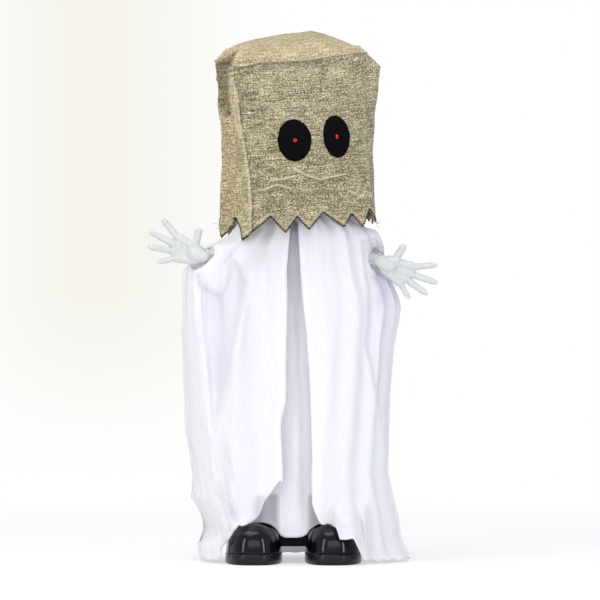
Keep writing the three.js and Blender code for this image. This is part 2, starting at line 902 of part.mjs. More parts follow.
// The frame of each hand: along its fingers, towards its thumb and out of its palm.
const handTilts = [degrees(162), degrees(-28)];
function handMatrix(i) {
  const side = i === 0 ? -1 : 1;
  const along = point(Math.cos(handTilts[i]), 0, Math.sin(handTilts[i]));
  const thumb = point(-side * Math.sin(handTilts[i]), 0, side * Math.cos(handTilts[i]));
  const palm = point(0, -1, 0);
  return new THREE.Matrix4().makeBasis(along, thumb, palm).scale(
    point(handScale, handScale, handScale),
  ).setPosition(wrists[i]);
}

function buildHand(i, sideName) {
  const matrix = handMatrix(i);
  const placed = geometryOf(handSolid()).applyMatrix4(matrix);
  const bore = rod(
    wrists[i].clone().addScaledVector(armDirections[i], -40),
    armDirections[i],
    40 + handBore,
    armRadius + slip,
    16,
  );
  return named("hand_" + sideName, solidOf(placed).subtract(bore), handWhite);
}

function cuffSolid(i) {
  const start = wrists[i].clone().addScaledVector(armDirections[i], -cuffLength - 16);
  const inner = armRadius + seat * 2;
  return turned(
    [
      [inner, 0],
      [cuffRadius + cuffThickness, 0],
      [cuffRadius + cuffThickness / 2, cuffLength * 0.5],
      [cuffRadius, cuffLength],
      [inner, cuffLength],
      [inner, 0],
    ],
    start,
    armDirections[i],
    16,
  );
}

// Sack, head form and eyes, in the head's own frame before it is turned about the neck

const sackWidths = [[0, 114], [0.35, 114], [0.6, 118], [0.8, 128], [1, 133]];
const sackDepths = [[0, 110], [0.5, 78], [0.8, 68], [1, 62]];
const faceBulges = [[0, 6], [0.5, 40], [0.8, 24], [1, 8]];
const backBulges = [[0, 4], [0.5, 16], [0.8, 12], [1, 6]];
const sideFolds = [[0, 0], [0.45, 4], [0.8, 20], [1, 12]];

// A point of a rounded rectangle at a share of its way round, from the middle of its front.
function roundedRectangle(share, halfWidth, halfDepth, r) {
  const quarter = (Math.PI * r) / 2;
  const sides = [halfWidth - r, quarter, 2 * (halfDepth - r), quarter, 2 * (halfWidth - r),
    quarter, 2 * (halfDepth - r), quarter, halfWidth - r];
  const starts = [
    [0, -halfDepth, 1, 0], [halfWidth - r, r - halfDepth, 1, -1],
    [halfWidth, r - halfDepth, 0, 1], [halfWidth - r, halfDepth - r, 1, 1],
    [halfWidth - r, halfDepth, -1, 0], [r - halfWidth, halfDepth - r, -1, 1],
    [-halfWidth, halfDepth - r, 0, -1], [r - halfWidth, r - halfDepth, -1, -1],
    [r - halfWidth, -halfDepth, 1, 0],
  ];
  let left = share * sides.reduce((a, b) => a + b);
  let i = 0;
  while (i < 8 && left > sides[i]) left -= sides[i++];
  const [x, y, dx, dy] = starts[i];
  if (i % 2 === 0) return [x + dx * left, y + dy * left];
  const turn = left / r;
  const startAngle = [-Math.PI / 2, 0, Math.PI / 2, Math.PI][(i - 1) / 2];
  return [x + r * Math.cos(startAngle + turn), y + r * Math.sin(startAngle + turn)];
}

function faceDepth(x, level, inset) {
  const halfWidth = tabled(sackWidths, level) - inset;
  const bulge = tabled(faceBulges, level);
  return tabled(sackDepths, level) - inset + bulge * Math.max(0, 1 - (x / halfWidth) ** 2);
}

// A point of the sack's surface. Level runs from 0 at the hem to 1 at the top seam.
function sackPoint(share, level, shrink, lift) {
  const halfWidth = tabled(sackWidths, level);
  const halfDepth = tabled(sackDepths, level);
  const [x, y] = roundedRectangle(share, halfWidth, halfDepth, sackCorner);
  const across = Math.max(0, 1 - (x / halfWidth) ** 2);
  const bulge = y < 0 ? tabled(faceBulges, level) : tabled(backBulges, level);
  const full = y + Math.sign(y) * bulge * across * Math.min(1, Math.abs(y) / halfDepth);
  const fold = tabled(sideFolds, level) * Math.exp(-((y / 26) ** 2));
  const px = (x - Math.sign(x) * fold * Math.min(1, Math.abs(x) / halfWidth)) * shrink;
  const py = full * shrink;
  const slant = sackSlant * (1 - THREE.MathUtils.smoothstep(level, slantFade, 1));
  const z = THREE.MathUtils.lerp(sackHem, sackSeam, level) + lift + slant * px;
  return point(px + sackShift, py, z);
}

const levelAt = (z) => (z - sackHem) / (sackSeam - sackHem);
const sackColumns = 3 * hemTeeth;
// Shares of the sack's height: where the form inside it ends, and where each ring lies
const formStart = (eyeHeight - formBelowEyes - sackHem) / (sackSeam - sackHem);
const sackLevels = [0, 0.16, formStart, 0.56, 0.7, 0.84, 0.94, 1].sort((a, b) => a - b);
const domeShrinks = [0.9, 0.65, 0.33];
const domeShare = (shrink) => (1 - shrink ** 1.5) ** (1 / 1.5);

// A ring of the sack, drawn in square to itself by an inset.
function sackRing(level, inset, shrink = 1, lift = 0) {
  const ring = Array.from({ length: sackColumns }, (_, i) =>
    sackPoint(i / sackColumns, level, shrink, lift),
  );
  return ring.map((p, i) => {
    const after = ring[(i + 1) % sackColumns];
    const before = ring[(i + sackColumns - 1) % sackColumns];
    const out = point(after.y - before.y, before.x - after.x, 0).normalize();
    return p.clone().addScaledVector(out, -inset);
  });
}

function sackRings(levels, inset) {
  const dome = sackDome - inset;
  const sides = levels.map((level) => sackRing(level, inset));
  const top = domeShrinks.map((shrink) => sackRing(1, inset, shrink, dome * domeShare(shrink)));
  return [...sides, ...top];
}

const domeApex = (inset) => point(sackShift, 0, sackSeam + sackDome - inset);

// Each hem tooth is a tip, a rising edge and a notch.
function hemDrop(column) {
  const tooth = Math.floor(column / 3);
  const depth = hemToothDepth * (1 + 0.2 * Math.sin(2.4 * tooth));
  return [-depth, 0.1 * depth, depth][column % 3];
}

function sackSolid() {
  const outer = sackRings(sackLevels, 0);
  const inner = sackRings(sackLevels, sackWall);
  for (const rings of [outer, inner]) rings[0].forEach((p, i) => (p.z += hemDrop(i)));
  const sack = hood(outer, inner, domeApex(0), domeApex(sackWall));
  return eyes.reduce((solid, eye) => solid.subtract(ledBore(eye)), sack);
}

const formInset = sackWall + formGap;
const formLevels = sackLevels.filter((level) => level >= formStart);

function formSolid() {
  const form = hood(
    sackRings(formLevels, formInset),
    sackRings(formLevels, formInset + formWall),
    domeApex(formInset),
    domeApex(formInset + formWall),
  );
  return eyes.reduce((solid, eye) => solid.subtract(ledBore(eye)), form);
}

const headPlateTop = THREE.MathUtils.lerp(sackHem, sackSeam, formStart) + 2 * headPlateThickness;

// A level plate across the foot of the form, which the form is screwed to.
function headPlateSolid() {
  const inset = formInset + formWall + seat;
  const foot = sackRing(formLevels[0], inset);
  const above = sackRing(formLevels[1], inset);
  const level = (z) => (levelAt(z) - formLevels[0]) / (formLevels[1] - formLevels[0]);
  const rings = [headPlateTop - headPlateThickness, headPlateTop].map((z) =>
    foot.map((p, i) => p.clone().lerp(above[i], level(z))),
  );
  return loft(rings).subtract(
    rod(point(0, 0, headPlateTop - 40), upright, 80, neckRadius + slip),
  );
}

function headHubSolid() {
  const top = 3 * headHubFlangeThickness;
  const low = headPlateTop - headPlateThickness - sackSlant * (headHubFlange + sackShift);
  const bore = neckRadius + slip;
  const hub = turned(
    [
      [bore, -headHubHeight],
      [bore + 4, -headHubHeight],
      [bore + 5, -headHubFlangeThickness - 2],
      [headHubFlange, -headHubFlangeThickness],
      [headHubFlange, top],
      [bore, top],
      [bore, -headHubHeight],
    ],
    point(0, 0, low - seat),
    upright,
    24,
  );
  const above = (x, y, lift) =>
    point(x, y, headPlateTop - headPlateThickness - seat + sackSlant * (x - sackShift) + lift);
  const square = (lift) =>
    [[-60, -60], [60, -60], [60, 60], [-60, 60]].map(([x, y]) => above(x, y, lift));
  return hub.subtract(loft([square(0), square(60)]));
}


// The face's surface under an eye, and its outward direction.
function facePoint(x, z, inset) {
  return point(x + sackShift, -faceDepth(x, levelAt(z - sackSlant * x), inset), z);
}

function eyeFrame(x) {
  const z = eyeHeight + sackSlant * x;
  const middle = facePoint(x, z, 0);
  const across = facePoint(x + 1, z, 0).sub(facePoint(x - 1, z, 0));
  const up = facePoint(x, z + 1, 0).sub(facePoint(x, z - 1, 0));
  return { x, z, middle, out: across.cross(up).normalize() };
}

const eyes = [eyeFrame(-eyeApart), eyeFrame(eyeApart)];

function ledBore(eye) {
  const start = eye.middle.clone().addScaledVector(eye.out, -20);
  return rod(start, eye.out, 40, ledRadius + slip, 12);
}

function patchSolid(eye) {
  const ring = (share, lift) =>
    Array.from({ length: 20 }, (_, i) => {
      const angle = (2 * Math.PI * i) / 20;
      const x = eye.x + share * eyeHalfWidth * Math.cos(angle);
      const z = eye.z + share * eyeHalfHeight * Math.sin(angle);
      return facePoint(x, z, -lift);
    });
  const low = 2 * seat;
  const high = low + patchThickness;
  const rings = [ring(0.4, low), ring(1, low), ring(1, high), ring(0.4, high)];
  const patch = loft(rings, facePoint(eye.x, eye.z, -low), facePoint(eye.x, eye.z, -high));
  return patch.subtract(ledBore(eye));
}

function ledSolid(eye) {
  const back = ledProud - ledLength;
  return turned(
    [
      [0, back],
      [ledRadius, back],
      [ledRadius, ledProud - ledRadius],
      [ledRadius * 0.7, ledProud - ledRadius * 0.3],
      [0, ledProud],
    ],
    eye.middle,
    eye.out,
    12,
  );
}

function holderSolid(eye) {
  const back = -formInset - formWall - seat - holderLength - 2.2;
  const start = eye.middle.clone().addScaledVector(eye.out, back);
  return pipe(start, eye.out, holderLength, ledRadius + slip + holderWall, ledRadius + slip, 14);
}

function ledLeadSolid(eye) {
  const back = ledProud - ledLength - seat;
  const start = eye.middle.clone().addScaledVector(eye.out, back);
  const side = Math.sign(eye.x);
  const endX = side * 16;
  const plateHeight = headPlateTop + sackSlant * (endX - sackShift);
  const end = point(endX, -18, plateHeight + leadRadius + seat);
  const route = new THREE.CatmullRomCurve3([
    start,
    start.clone().addScaledVector(eye.out, -14),
    point((start.x + end.x) / 2, start.y / 2, end.z + 18),
    end,
  ]);
  const section = new THREE.Shape().absarc(0, 0, leadRadius, 0, 2 * Math.PI, false);
  const options = { extrudePath: route, steps: 16, curveSegments: 4, bevelEnabled: false };
  return solidOf(new THREE.ExtrudeGeometry(section, options));
}

// Robe

const shoulderWidths = [[549, 113], [553, 104], [576, 96], [584, 66], [588, 44]];
const robeWidthsRight = [[4, 160], [40, 152], [64, 146], [88, 156], [110, 170], [139, 166],
  [218, 176], [305, 181], [390, 187], [503, 186], [512, 176], [524, 162], [534, 148], [541, 136],
  [545, 124], ...shoulderWidths];
const robeWidthsLeft = [[4, 180], [32, 180], [74, 175], [110, 166], [153, 156], [218, 160],
  [283, 162], [370, 168], [413, 178], [438, 181], [456, 178], [486, 164], [524, 154], [541, 136],
  [545, 124], ...shoulderWidths];
const robeFronts = [[4, 104], [100, 98], [300, 92], [500, 90], [533, 84], [545, 76], [553, 71],
  [576, 67], [584, 52], [588, 44]];
const robeBacks = [[4, 138], [100, 134], [300, 130], [440, 128], [500, 106], [533, 89], [545, 78],
  [553, 71], [576, 67], [584, 52], [588, 44]];
const gownWidths = [[60, 124], [120, 123], [250, 114], [440, 102], [500, 94], [552, 90],
  [568, 86], [577, 62], [581, 40.5]];
const gownFronts = [[60, 78], [120, 74], [250, 70], [440, 68], [500, 66], [552, 62],
  [568, 58], [577, 48], [581, 40.5]];
const gownBacks = [[60, 106], [120, 108], [250, 113], [440, 116], [500, 88], [552, 62],
  [568, 58], [577, 48], [581, 40.5]];
const robeCut = {
  widths: [robeWidthsRight, robeWidthsLeft],
  fronts: robeFronts,
  backs: robeBacks,
  folds: 11,
  foldDepth: 5,
};
const gownCut = {
  widths: [gownWidths, gownWidths],
  fronts: gownFronts,
  backs: gownBacks,
  folds: 9,
  foldDepth: 3,
};
// The hem's height by distance from the figure's middle: it is drawn up over the boots.
const robeHem = [[-150, 4], [-126, 44], [-112, 64], [-84, 80], [-64, 90], [-40, 112], [-18, 140],
  [30, 132], [44, 104], [60, 84], [92, 80], [112, 62], [126, 40], [146, 4]];
const gownHem = [[-112, 84], [-40, 82], [-14, 52], [14, 52], [40, 82], [112, 84]];
const openingRight = [[4, -20], [140, -20], [500, -12], [588, -6]];
const openingLeft = [[4, 34], [140, 30], [340, 22], [500, 12], [588, 7]];
const robeColumns = 40;
const gownColumns = 30;
const robeLevels = [588, 584, 576, 553, 545, 533, 508, 440, 340, 230, 110, 4];
const gownLevels = [581, 577, 568, 552, 500, 440, 250, 60];

// A point of a garment. Theta is 0 at the front and grows towards the figure's left.
function clothPoint(theta, z, inset, { widths, fronts, backs, folds, foldDepth }) {
  const free = THREE.MathUtils.smoothstep(foldTop - z, 0, 260);
  const ripple = foldDepth * free * (Math.cos(folds * theta) + 0.4 * Math.cos(2 * folds * theta + 1));
  const out = ripple - inset;
  const halfDepth = straight(Math.cos(theta) > 0 ? fronts : backs, z) + out;
  const rounded = (value) => Math.sign(value) * Math.abs(value) ** (2 / clothRoundness);
  return point(
    (straight(widths[Math.sin(theta) < 0 ? 0 : 1], z) + out) * rounded(Math.sin(theta)),
    -halfDepth * rounded(Math.cos(theta)),
    z,
  );
}

// How far the wide sleeve's mouth hollows the robe below the right wrist: a V that closes downwards.
function swagDepthAt(p) {
  if (p.y > 0 || p.z > swagTop || p.z < swagBottom) return 0;
  const down = (swagTop - p.z) / (swagTop - swagBottom);
  const middle = THREE.MathUtils.lerp(-swagMiddleTop, -swagMiddleBottom, down);
  const half = THREE.MathUtils.lerp(swagHalfWidth, 0.2 * swagHalfWidth, down);
  const across = Math.max(0, 1 - ((p.x - middle) / half) ** 2);
  return swagDepth * across * Math.min(1, 4 * (1 - down)) * Math.min(1, 6 * down);
}

// Brings a level below the drape's start down to the hem's own height at that place.
function hung(level, start, lowest, hem) {
  return level >= start ? level : hem + ((level - lowest) * (start - hem)) / (start - lowest);
}

function robeGrid(inset) {
  return robeLevels.map((level) => {
    const edgeAngle = (opening) => {
      const share = straight(opening, level) / straight(robeWidthsLeft, level);
      return Math.asin(Math.sign(share) * Math.abs(share) ** (clothRoundness / 2));
    };
    const rightEdge = edgeAngle(openingRight);
    const leftEdge = edgeAngle(openingLeft);
    return Array.from({ length: robeColumns + 1 }, (_, i) => {
      const theta = THREE.MathUtils.lerp(leftEdge, 2 * Math.PI + rightEdge, i / robeColumns);
      const across = straight(robeWidthsLeft, 100) * Math.sin(theta);
      const hem = Math.cos(theta) > 0 ? straight(robeHem, across) : robeFloor;
      const z = hung(level, 440, robeFloor, hem);
      const p = clothPoint(theta, z, inset, robeCut);
      p.y += swagDepthAt(p);
      return p;
    });
  });
}

function armBore(i, radius, from, to) {
  const start = shoulders[i].clone().addScaledVector(armDirections[i], from);
  return rod(start, armDirections[i], to - from, radius, 16);
}

function robeSolid() {
  const rows = (inset) => robeGrid(inset).reverse();
  let robe = sheet(rows(0), rows(clothWall));
  for (const i of [0, 1]) robe = robe.subtract(armBore(i, cuffHoleRadius, 58, 150));
  return robe;
}

function gownRings(inset) {
  return gownLevels.map((level) =>
    Array.from({ length: gownColumns }, (_, i) => {
      const theta = (2 * Math.PI * i) / gownColumns;
      const across = straight(gownWidths, 80) * Math.sin(theta);
      const hem = Math.cos(theta) > 0 ? straight(gownHem, across) : straight(gownHem, 112);
      const z = hung(level, 440, 60, hem);
      return clothPoint(theta, z, inset, gownCut);
    }),
  );
}

function gownSolid() {
  let gown = sleeve(gownRings(0).reverse(), gownRings(clothWall).reverse());
  for (const i of [0, 1]) gown = gown.subtract(armBore(i, armholeRadius, 0, 60));
  return gown;
}

function neckbandSolid() {
  return pipe(
    point(0, 0, housingTop + seat),
    upright,
    neckbandHeight,
    neckbandRadius,
    neckbandRadius - neckbandWall,
    28,
  );
}

// Control box

const bayBottom = boxBottom + boxWall + 1;
const bayTop = bayBottom + batteryCount * batteryPitch + 1;
const bayFront = boxBack - 2 * batteryRadius - 2;
const controlHeight = (bayTop + boxTop) / 2 + 1.5;
const switchPlace = -18;
const buttonPlace = 14;
const doorBottom = bayBottom - 1;
const doorTop = bayTop + doorMargin;
const doorHalfWidth = bayHalfWidth + doorMargin;
const hingeHeight = doorTop + hingeRadius * 0.2;
const hingeDepth = boxBack + seat + hingeRadius;

function boxCaseSolid() {
  const outer = box(-boxHalfWidth, boxHalfWidth, boxFront, boxBack, boxBottom, boxTop);
  const hollow = box(
    -boxHalfWidth + boxWall,
    boxHalfWidth - boxWall,
    boxFront - 1,
    boxBack - boxWall,
    boxBottom + boxWall,
    boxTop - boxWall,
  );
  const tray = box(
    -bayHalfWidth - boxWall,
    bayHalfWidth + boxWall,
    bayFront - boxWall,
    boxBack - boxWall / 2,
    boxBottom + boxWall / 2,
    bayTop + boxWall,
  );
  const bay = box(-bayHalfWidth, bayHalfWidth, bayFront, boxBack + 1, bayBottom, bayTop);
  const switchSlot = box(
    switchPlace - switchHalfWidth - switchTravel - seat,
    switchPlace + switchHalfWidth + switchTravel + seat,
    boxBack - boxWall - 1,
    boxBack + 1,
    controlHeight - 2 - seat,
    controlHeight + 2 + seat,
  );
  const buttonHole = rod(
    point(buttonPlace, boxBack - boxWall - 1, controlHeight),
    point(0, 1, 0),
    boxWall + 2,
    buttonRadius + seat,
  );
  let solid = outer.subtract(hollow).add(tray).subtract(bay);
  solid = solid.subtract(switchSlot).subtract(buttonHole);
  for (const hole of grilleHoles()) solid = solid.subtract(hole);
  for (const side of [-1, 1]) solid = solid.add(hingeLug(side)).subtract(hingeBore());
  return solid.subtract(
    rod(point(harnessPlace.x, harnessPlace.y, boxTop - boxWall - 1), upright, boxWall + 2,
      harnessRadius + slip, 10),
  );
}

const speakerMiddle = point(boxHalfWidth - boxWall, boxFront + speakerRadius + 2,
  boxTop - speakerRadius - 8);

// Holes through the side wall in front of the speaker: one in the middle and six round it.
function grilleHoles() {
  const places = [[0, 0]];
  for (let k = 0; k < 6; k++)
    places.push([9 * Math.cos((k * Math.PI) / 3), 9 * Math.sin((k * Math.PI) / 3)]);
  return places.map(([y, z]) =>
    rod(
      point(speakerMiddle.x - 1, speakerMiddle.y + y, speakerMiddle.z + z),
      point(1, 0, 0),
      boxWall + 2,
      grilleHoleRadius,
      8,
    ),
  );
}

function hingeLug(side) {
  const start = side > 0 ? doorHalfWidth + seat : -doorHalfWidth - seat - 6;
  const barrel = rod(point(start, hingeDepth, hingeHeight), point(1, 0, 0), 6, hingeRadius, 14);
  const web = box(
    start,
    start + 6,
    boxBack - boxWall / 2,
    hingeDepth,
    hingeHeight - hingeRadius * 0.8,
    hingeHeight + hingeRadius * 0.8,
  );
  return barrel.add(web);
}

function hingeBore() {
  const reach = doorHalfWidth + 10;
  return rod(point(-reach, hingeDepth, hingeHeight), point(1, 0, 0), 2 * reach,
    hingePinRadius + seat, 10);
}

function hingePinSolid() {
  const reach = doorHalfWidth + 6;
  return rod(point(-reach, hingeDepth, hingeHeight), point(1, 0, 0), 2 * reach, hingePinRadius, 10);
}

function doorSolid() {
  const inner = boxBack + seat;
  const panel = box(
    -doorHalfWidth,
    doorHalfWidth,
    inner,
    inner + doorThickness,
    doorBottom,
    hingeHeight,
  );
  const barrel = rod(
    point(-doorHalfWidth, hingeDepth, hingeHeight),
    point(1, 0, 0),
    2 * doorHalfWidth,
    hingeRadius,
    14,
  );
  const pull = box(-8, 8, inner, inner + doorThickness + 2, doorBottom, doorBottom + 3);
  return panel.add(barrel).add(pull).subtract(hingeBore());
}

function boxLidSolid() {
  const plate = box(
    -boxHalfWidth,
    boxHalfWidth,
    boxFront - boxWall - seat,
    boxFront - seat,
    boxBottom,
    boxTop,
  );
  const middleZ = (boxBottom + boxTop) / 2;
  const outer = spineRadius + slip + 3;
  const saddle = pipe(
    point(0, 0, middleZ - 12),
    upright,
    24,
    outer,
    spineRadius + slip,
  );
  const web = box(-7, 7, spineRadius + slip + 0.5, boxFront - seat, middleZ - 12, middleZ + 12);
  return saddle
    .add(web)
    .add(plate)
    .subtract(rod(point(0, 0, middleZ - 60), upright, 120, spineRadius + slip));
}

function batterySolid(k) {
  const z = bayBottom + batteryPitch * (k + 0.5) + 0.5;
  const start = point(-batteryLength / 2 - 0.5, boxBack - batteryRadius - 1, z);
  return turned(
    [
      [0, 0],
      [batteryRadius, 0],
      [batteryRadius, batteryLength - 1.5],
      [2.7, batteryLength - 1.5],
      [2.7, batteryLength],
      [0, batteryLength],
    ],
    start,
    point(1, 0, 0),
    14,
  );
}

function boardSolid() {
  const z = bayTop + boxWall + seat;
  return box(
    -boxHalfWidth + boxWall + seat,
    speakerMiddle.x - 12,
    boxFront + 4,
    bayFront + 6,
    z,
    z + boardThickness,
  );
}

function speakerSolid() {
  return turned(
    [
      [0, 0],
      [9, 0],
      [9, 5],
      [speakerRadius - 2, 9],
      [speakerRadius, 9],
      [speakerRadius, speakerDepth],
      [speakerRadius - 2.5, speakerDepth],
      [6, 7.5],
      [0, 8.5],
    ],
    point(speakerMiddle.x - speakerDepth - seat, speakerMiddle.y, speakerMiddle.z),
    point(1, 0, 0),
  );
}

function switchSolid() {
  const inner = boxBack - boxWall - seat;
  const flangeHalf = switchHalfWidth + switchTravel * 2 + 1;
  const flange = box(
    switchPlace - flangeHalf,
    switchPlace + flangeHalf,
    inner - 1.5,
    inner,
    controlHeight - 4,
    controlHeight + 4,
  );
  const knob = box(
    switchPlace - switchHalfWidth,
    switchPlace + switchHalfWidth,
    inner - 1,
    boxBack + switchProud,
    controlHeight - 2,
    controlHeight + 2,
  );
  return flange.add(knob);
}

function buttonSolid() {
  const inner = boxBack - boxWall - seat;
  return turned(
    [
      [0, -1.5],
      [buttonRadius + 1, -1.5],
      [buttonRadius + 1, 0],
      [buttonRadius, 0],
      [buttonRadius, boxWall + seat + buttonProud - 0.8],
      [buttonRadius - 0.8, boxWall + seat + buttonProud],
      [0, boxWall + seat + buttonProud],
    ],
    point(buttonPlace, inner, controlHeight),
    point(0, 1, 0),
  );
}

function harnessSolid() {
  const bottom = boxTop - boxWall;
  return rod(
    point(harnessPlace.x, harnessPlace.y, bottom),
    upright,
    housingBottom + housingWall - bottom,
    harnessRadius,
    10,
  );
}

// The figure

const figure = new THREE.Group();

figure.add(buildFoot(-1, "right"), buildFoot(1, "left"));
figure.add(named("base_frame", baseFrameSolid(), frameBlack));
figure.add(named("spigot_right", spigotSolid(-1), frameBlack));
figure.add(named("spigot_left", spigotSolid(1), frameBlack));
figure.add(named("leg_tube_right", legSolid(-1), tubeGrey));
figure.add(named("leg_tube_left", legSolid(1), tubeGrey));
figure.add(named("hip_block", hipSolid(), mouldedBlack));
figure.add(named("spine_tube", spineSolid(), tubeGrey));

figure.add(named("housing_front", housingShell(-housingHalfDepth, -seat / 2, 1), mouldedBlack));
figure.add(named("housing_back", housingShell(seat / 2, housingHalfDepth, -1), mouldedBlack));
screwPlaces.forEach(([x, z], i) => {
  figure.add(named("housing_screw_" + (i + 1), screwSolid(x, z), steel));
});
figure.add(named("drive_bracket", bracketSolid(), steel));
figure.add(named("gearmotor", gearmotorSolid(), steel));
figure.add(named("neck_bush", neckBushSolid(), nylon));

const pinion = named("motor_pinion", pinionSolid(), nylon);
pinion.position.x = -driveApart;
figure.add(pinion);

["right", "left"].forEach((sideName, i) => {
  figure.add(named("shoulder_socket_" + sideName, socketSolid(i), mouldedBlack));
  figure.add(named("arm_tube_" + sideName, armSolid(i), tubeGrey));
  figure.add(buildHand(i, sideName));
  figure.add(named("sleeve_cuff_" + sideName, cuffSolid(i), sheerWhite));
});
figure.add(named("robe", robeSolid(), sheerWhite));
figure.add(named("inner_gown", gownSolid(), sheerWhite));
figure.add(named("neckband", neckbandSolid(), sheerWhite));

figure.add(named("control_box_case", boxCaseSolid(), mouldedBlack));
figure.add(named("control_box_lid", boxLidSolid(), mouldedBlack));
figure.add(named("battery_door", doorSolid(), mouldedBlack));
figure.add(named("door_hinge_pin", hingePinSolid(), steel));
for (let k = 0; k < batteryCount; k++)
  figure.add(named("battery_" + (k + 1), batterySolid(k), batteryLabel));
figure.add(named("circuit_board", boardSolid(), boardGreen));
figure.add(named("speaker", speakerSolid(), mouldedBlack));
figure.add(named("power_switch", switchSolid(), mouldedWhite));
figure.add(named("try_button", buttonSolid(), redLens));
figure.add(named("wire_harness", harnessSolid(), wireBlack));

const head = new THREE.Group();
head.rotation.z = headYaw;
head.add(named("neck_shaft", neckShaftSolid(), tubeGrey));
head.add(named("sector_gear", sectorSolid(), nylon));
head.add(named("retaining_clip", clipSolid(), steel));
head.add(named("head_hub", headHubSolid(), mouldedWhite));
head.add(named("head_plate", headPlateSolid(), mouldedWhite));
head.add(named("head_form", formSolid(), mouldedWhite));
head.add(named("sack", sackSolid(), burlap));
["right", "left"].forEach((sideName, i) => {
  head.add(named("eye_patch_" + sideName, patchSolid(eyes[i]), felt));
  head.add(named("led_" + sideName, ledSolid(eyes[i]), redLens));
  head.add(named("led_holder_" + sideName, holderSolid(eyes[i]), mouldedBlack));
  head.add(named("led_lead_" + sideName, ledLeadSolid(eyes[i]), wireBlack));
});
figure.add(head);

// The origin goes to the middle of the overall box, on the floor.
figure.updateMatrixWorld(true);
const overall = new THREE.Box3().setFromObject(figure, true).getCenter(point(0, 0, 0));
figure.position.set(-overall.x, -overall.y, 0);

export default figure;
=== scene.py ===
# An animated ghost figure: a burlap sack over its head, a sheer white robe, open hands and glossy boots.
# Lengths are millimetres from the neck's axis and the floor until a mesh is made, and metres from there.
import json
import math
from contextlib import contextmanager

import bmesh
import bpy
import numpy as np
from mathutils import Matrix, Vector
from mathutils.kdtree import KDTree


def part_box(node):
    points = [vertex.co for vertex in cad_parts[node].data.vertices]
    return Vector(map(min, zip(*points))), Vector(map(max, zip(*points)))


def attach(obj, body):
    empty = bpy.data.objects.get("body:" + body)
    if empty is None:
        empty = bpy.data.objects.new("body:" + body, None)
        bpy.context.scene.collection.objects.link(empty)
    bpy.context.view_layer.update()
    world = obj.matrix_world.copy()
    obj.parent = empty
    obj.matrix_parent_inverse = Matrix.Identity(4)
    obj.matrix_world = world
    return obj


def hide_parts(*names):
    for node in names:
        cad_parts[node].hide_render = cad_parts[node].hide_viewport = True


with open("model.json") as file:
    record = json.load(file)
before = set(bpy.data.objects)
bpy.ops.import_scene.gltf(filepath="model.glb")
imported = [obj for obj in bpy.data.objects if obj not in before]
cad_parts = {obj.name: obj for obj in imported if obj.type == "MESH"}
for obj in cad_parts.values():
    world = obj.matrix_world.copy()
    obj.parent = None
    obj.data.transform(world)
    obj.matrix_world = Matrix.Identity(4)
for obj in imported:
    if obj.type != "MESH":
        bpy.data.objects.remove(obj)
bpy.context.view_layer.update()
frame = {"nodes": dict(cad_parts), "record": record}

MM = 0.001
YAW = math.radians(16)  # how far the head stands turned to its left
SIDES = (("right", -1), ("left", 1))  # the figure's own sides, and their sign along x
neck_low, neck_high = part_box("neck_shaft")
NECK = np.array([(neck_low.x + neck_high.x) / 2, (neck_low.y + neck_high.y) / 2, 0.0])
chance = np.random.default_rng(7)

# The photograph's frame
PIXEL = 1.726  # millimetres to a pixel of the frame, in the plane of the neck's axis
CAMERA_X, CAMERA_Z, CAMERA_AWAY = 11.2, 449.6, 6500.0
FRAME_SIDE = 600
SENSOR_WIDTH = 36


def frame_place(points):
    """Where points fall in the photograph's frame, in pixels across and down."""
    near = 1 + points[..., 1] / CAMERA_AWAY
    across = FRAME_SIDE / 2 + (points[..., 0] - CAMERA_X) / PIXEL / near
    down = FRAME_SIDE / 2 - (points[..., 2] - CAMERA_Z) / PIXEL / near
    return across, down


def add_object(name, data):
    obj = bpy.data.objects.new(name, data)
    bpy.context.scene.collection.objects.link(obj)
    return obj


def aim_camera():
    camera = add_object("camera", bpy.data.cameras.new("camera"))
    camera.location = Vector(
        (NECK[0] + CAMERA_X * MM, NECK[1] - CAMERA_AWAY * MM, CAMERA_Z * MM)
    )
    camera.rotation_euler = (math.pi / 2, 0, 0)
    camera.data.sensor_width = SENSOR_WIDTH
    camera.data.lens = SENSOR_WIDTH * CAMERA_AWAY / (FRAME_SIDE * PIXEL)
    bpy.context.scene.camera = camera


aim_camera()

# Tables and outlines


def eased(table, key):
    """A value from [key, value] pairs with rising keys, eased between them."""
    keys, values = np.array(table, float).T
    key = np.clip(key, keys[0], keys[-1])
    i = np.clip(np.searchsorted(keys, key, side="left") - 1, 0, len(keys) - 2)
    t = (key - keys[i]) / (keys[i + 1] - keys[i])
    return values[i] + (values[i + 1] - values[i]) * t * t * (3 - 2 * t)


def straight(table, key):
    keys, values = np.array(table, float).T
    return np.interp(key, keys, values)


def smooth(value, start, end):
    t = np.clip((value - start) / (end - start), 0, 1)
    return t * t * (3 - 2 * t)


def bump(value, middle, width):
    return np.exp(-(((value - middle) / width) ** 2))


def unit(vector):
    return vector / np.linalg.norm(vector)


def circle_angles(count, start=0.0):
    return (np.arange(count) + start) / count * math.tau


def about_neck(points, angle):
    """Points turned about the neck's axis."""
    c, s = math.cos(angle), math.sin(angle)
    x, y, z = points[..., 0], points[..., 1], points[..., 2]
    return np.stack([c * x - s * y, s * x + c * y, z], axis=-1)


def line_distance(across, down, line):
    """How far frame places lie from a line of frame points."""
    best = np.full(across.shape, 1e9)
    for (x0, y0), (x1, y1) in zip(line, line[1:]):
        length = (x1 - x0) ** 2 + (y1 - y0) ** 2
        t = np.clip(((across - x0) * (x1 - x0) + (down - y0) * (y1 - y0)) / length, 0, 1)
        gap = np.hypot(across - x0 - t * (x1 - x0), down - y0 - t * (y1 - y0))
        best = np.minimum(best, gap)
    return best


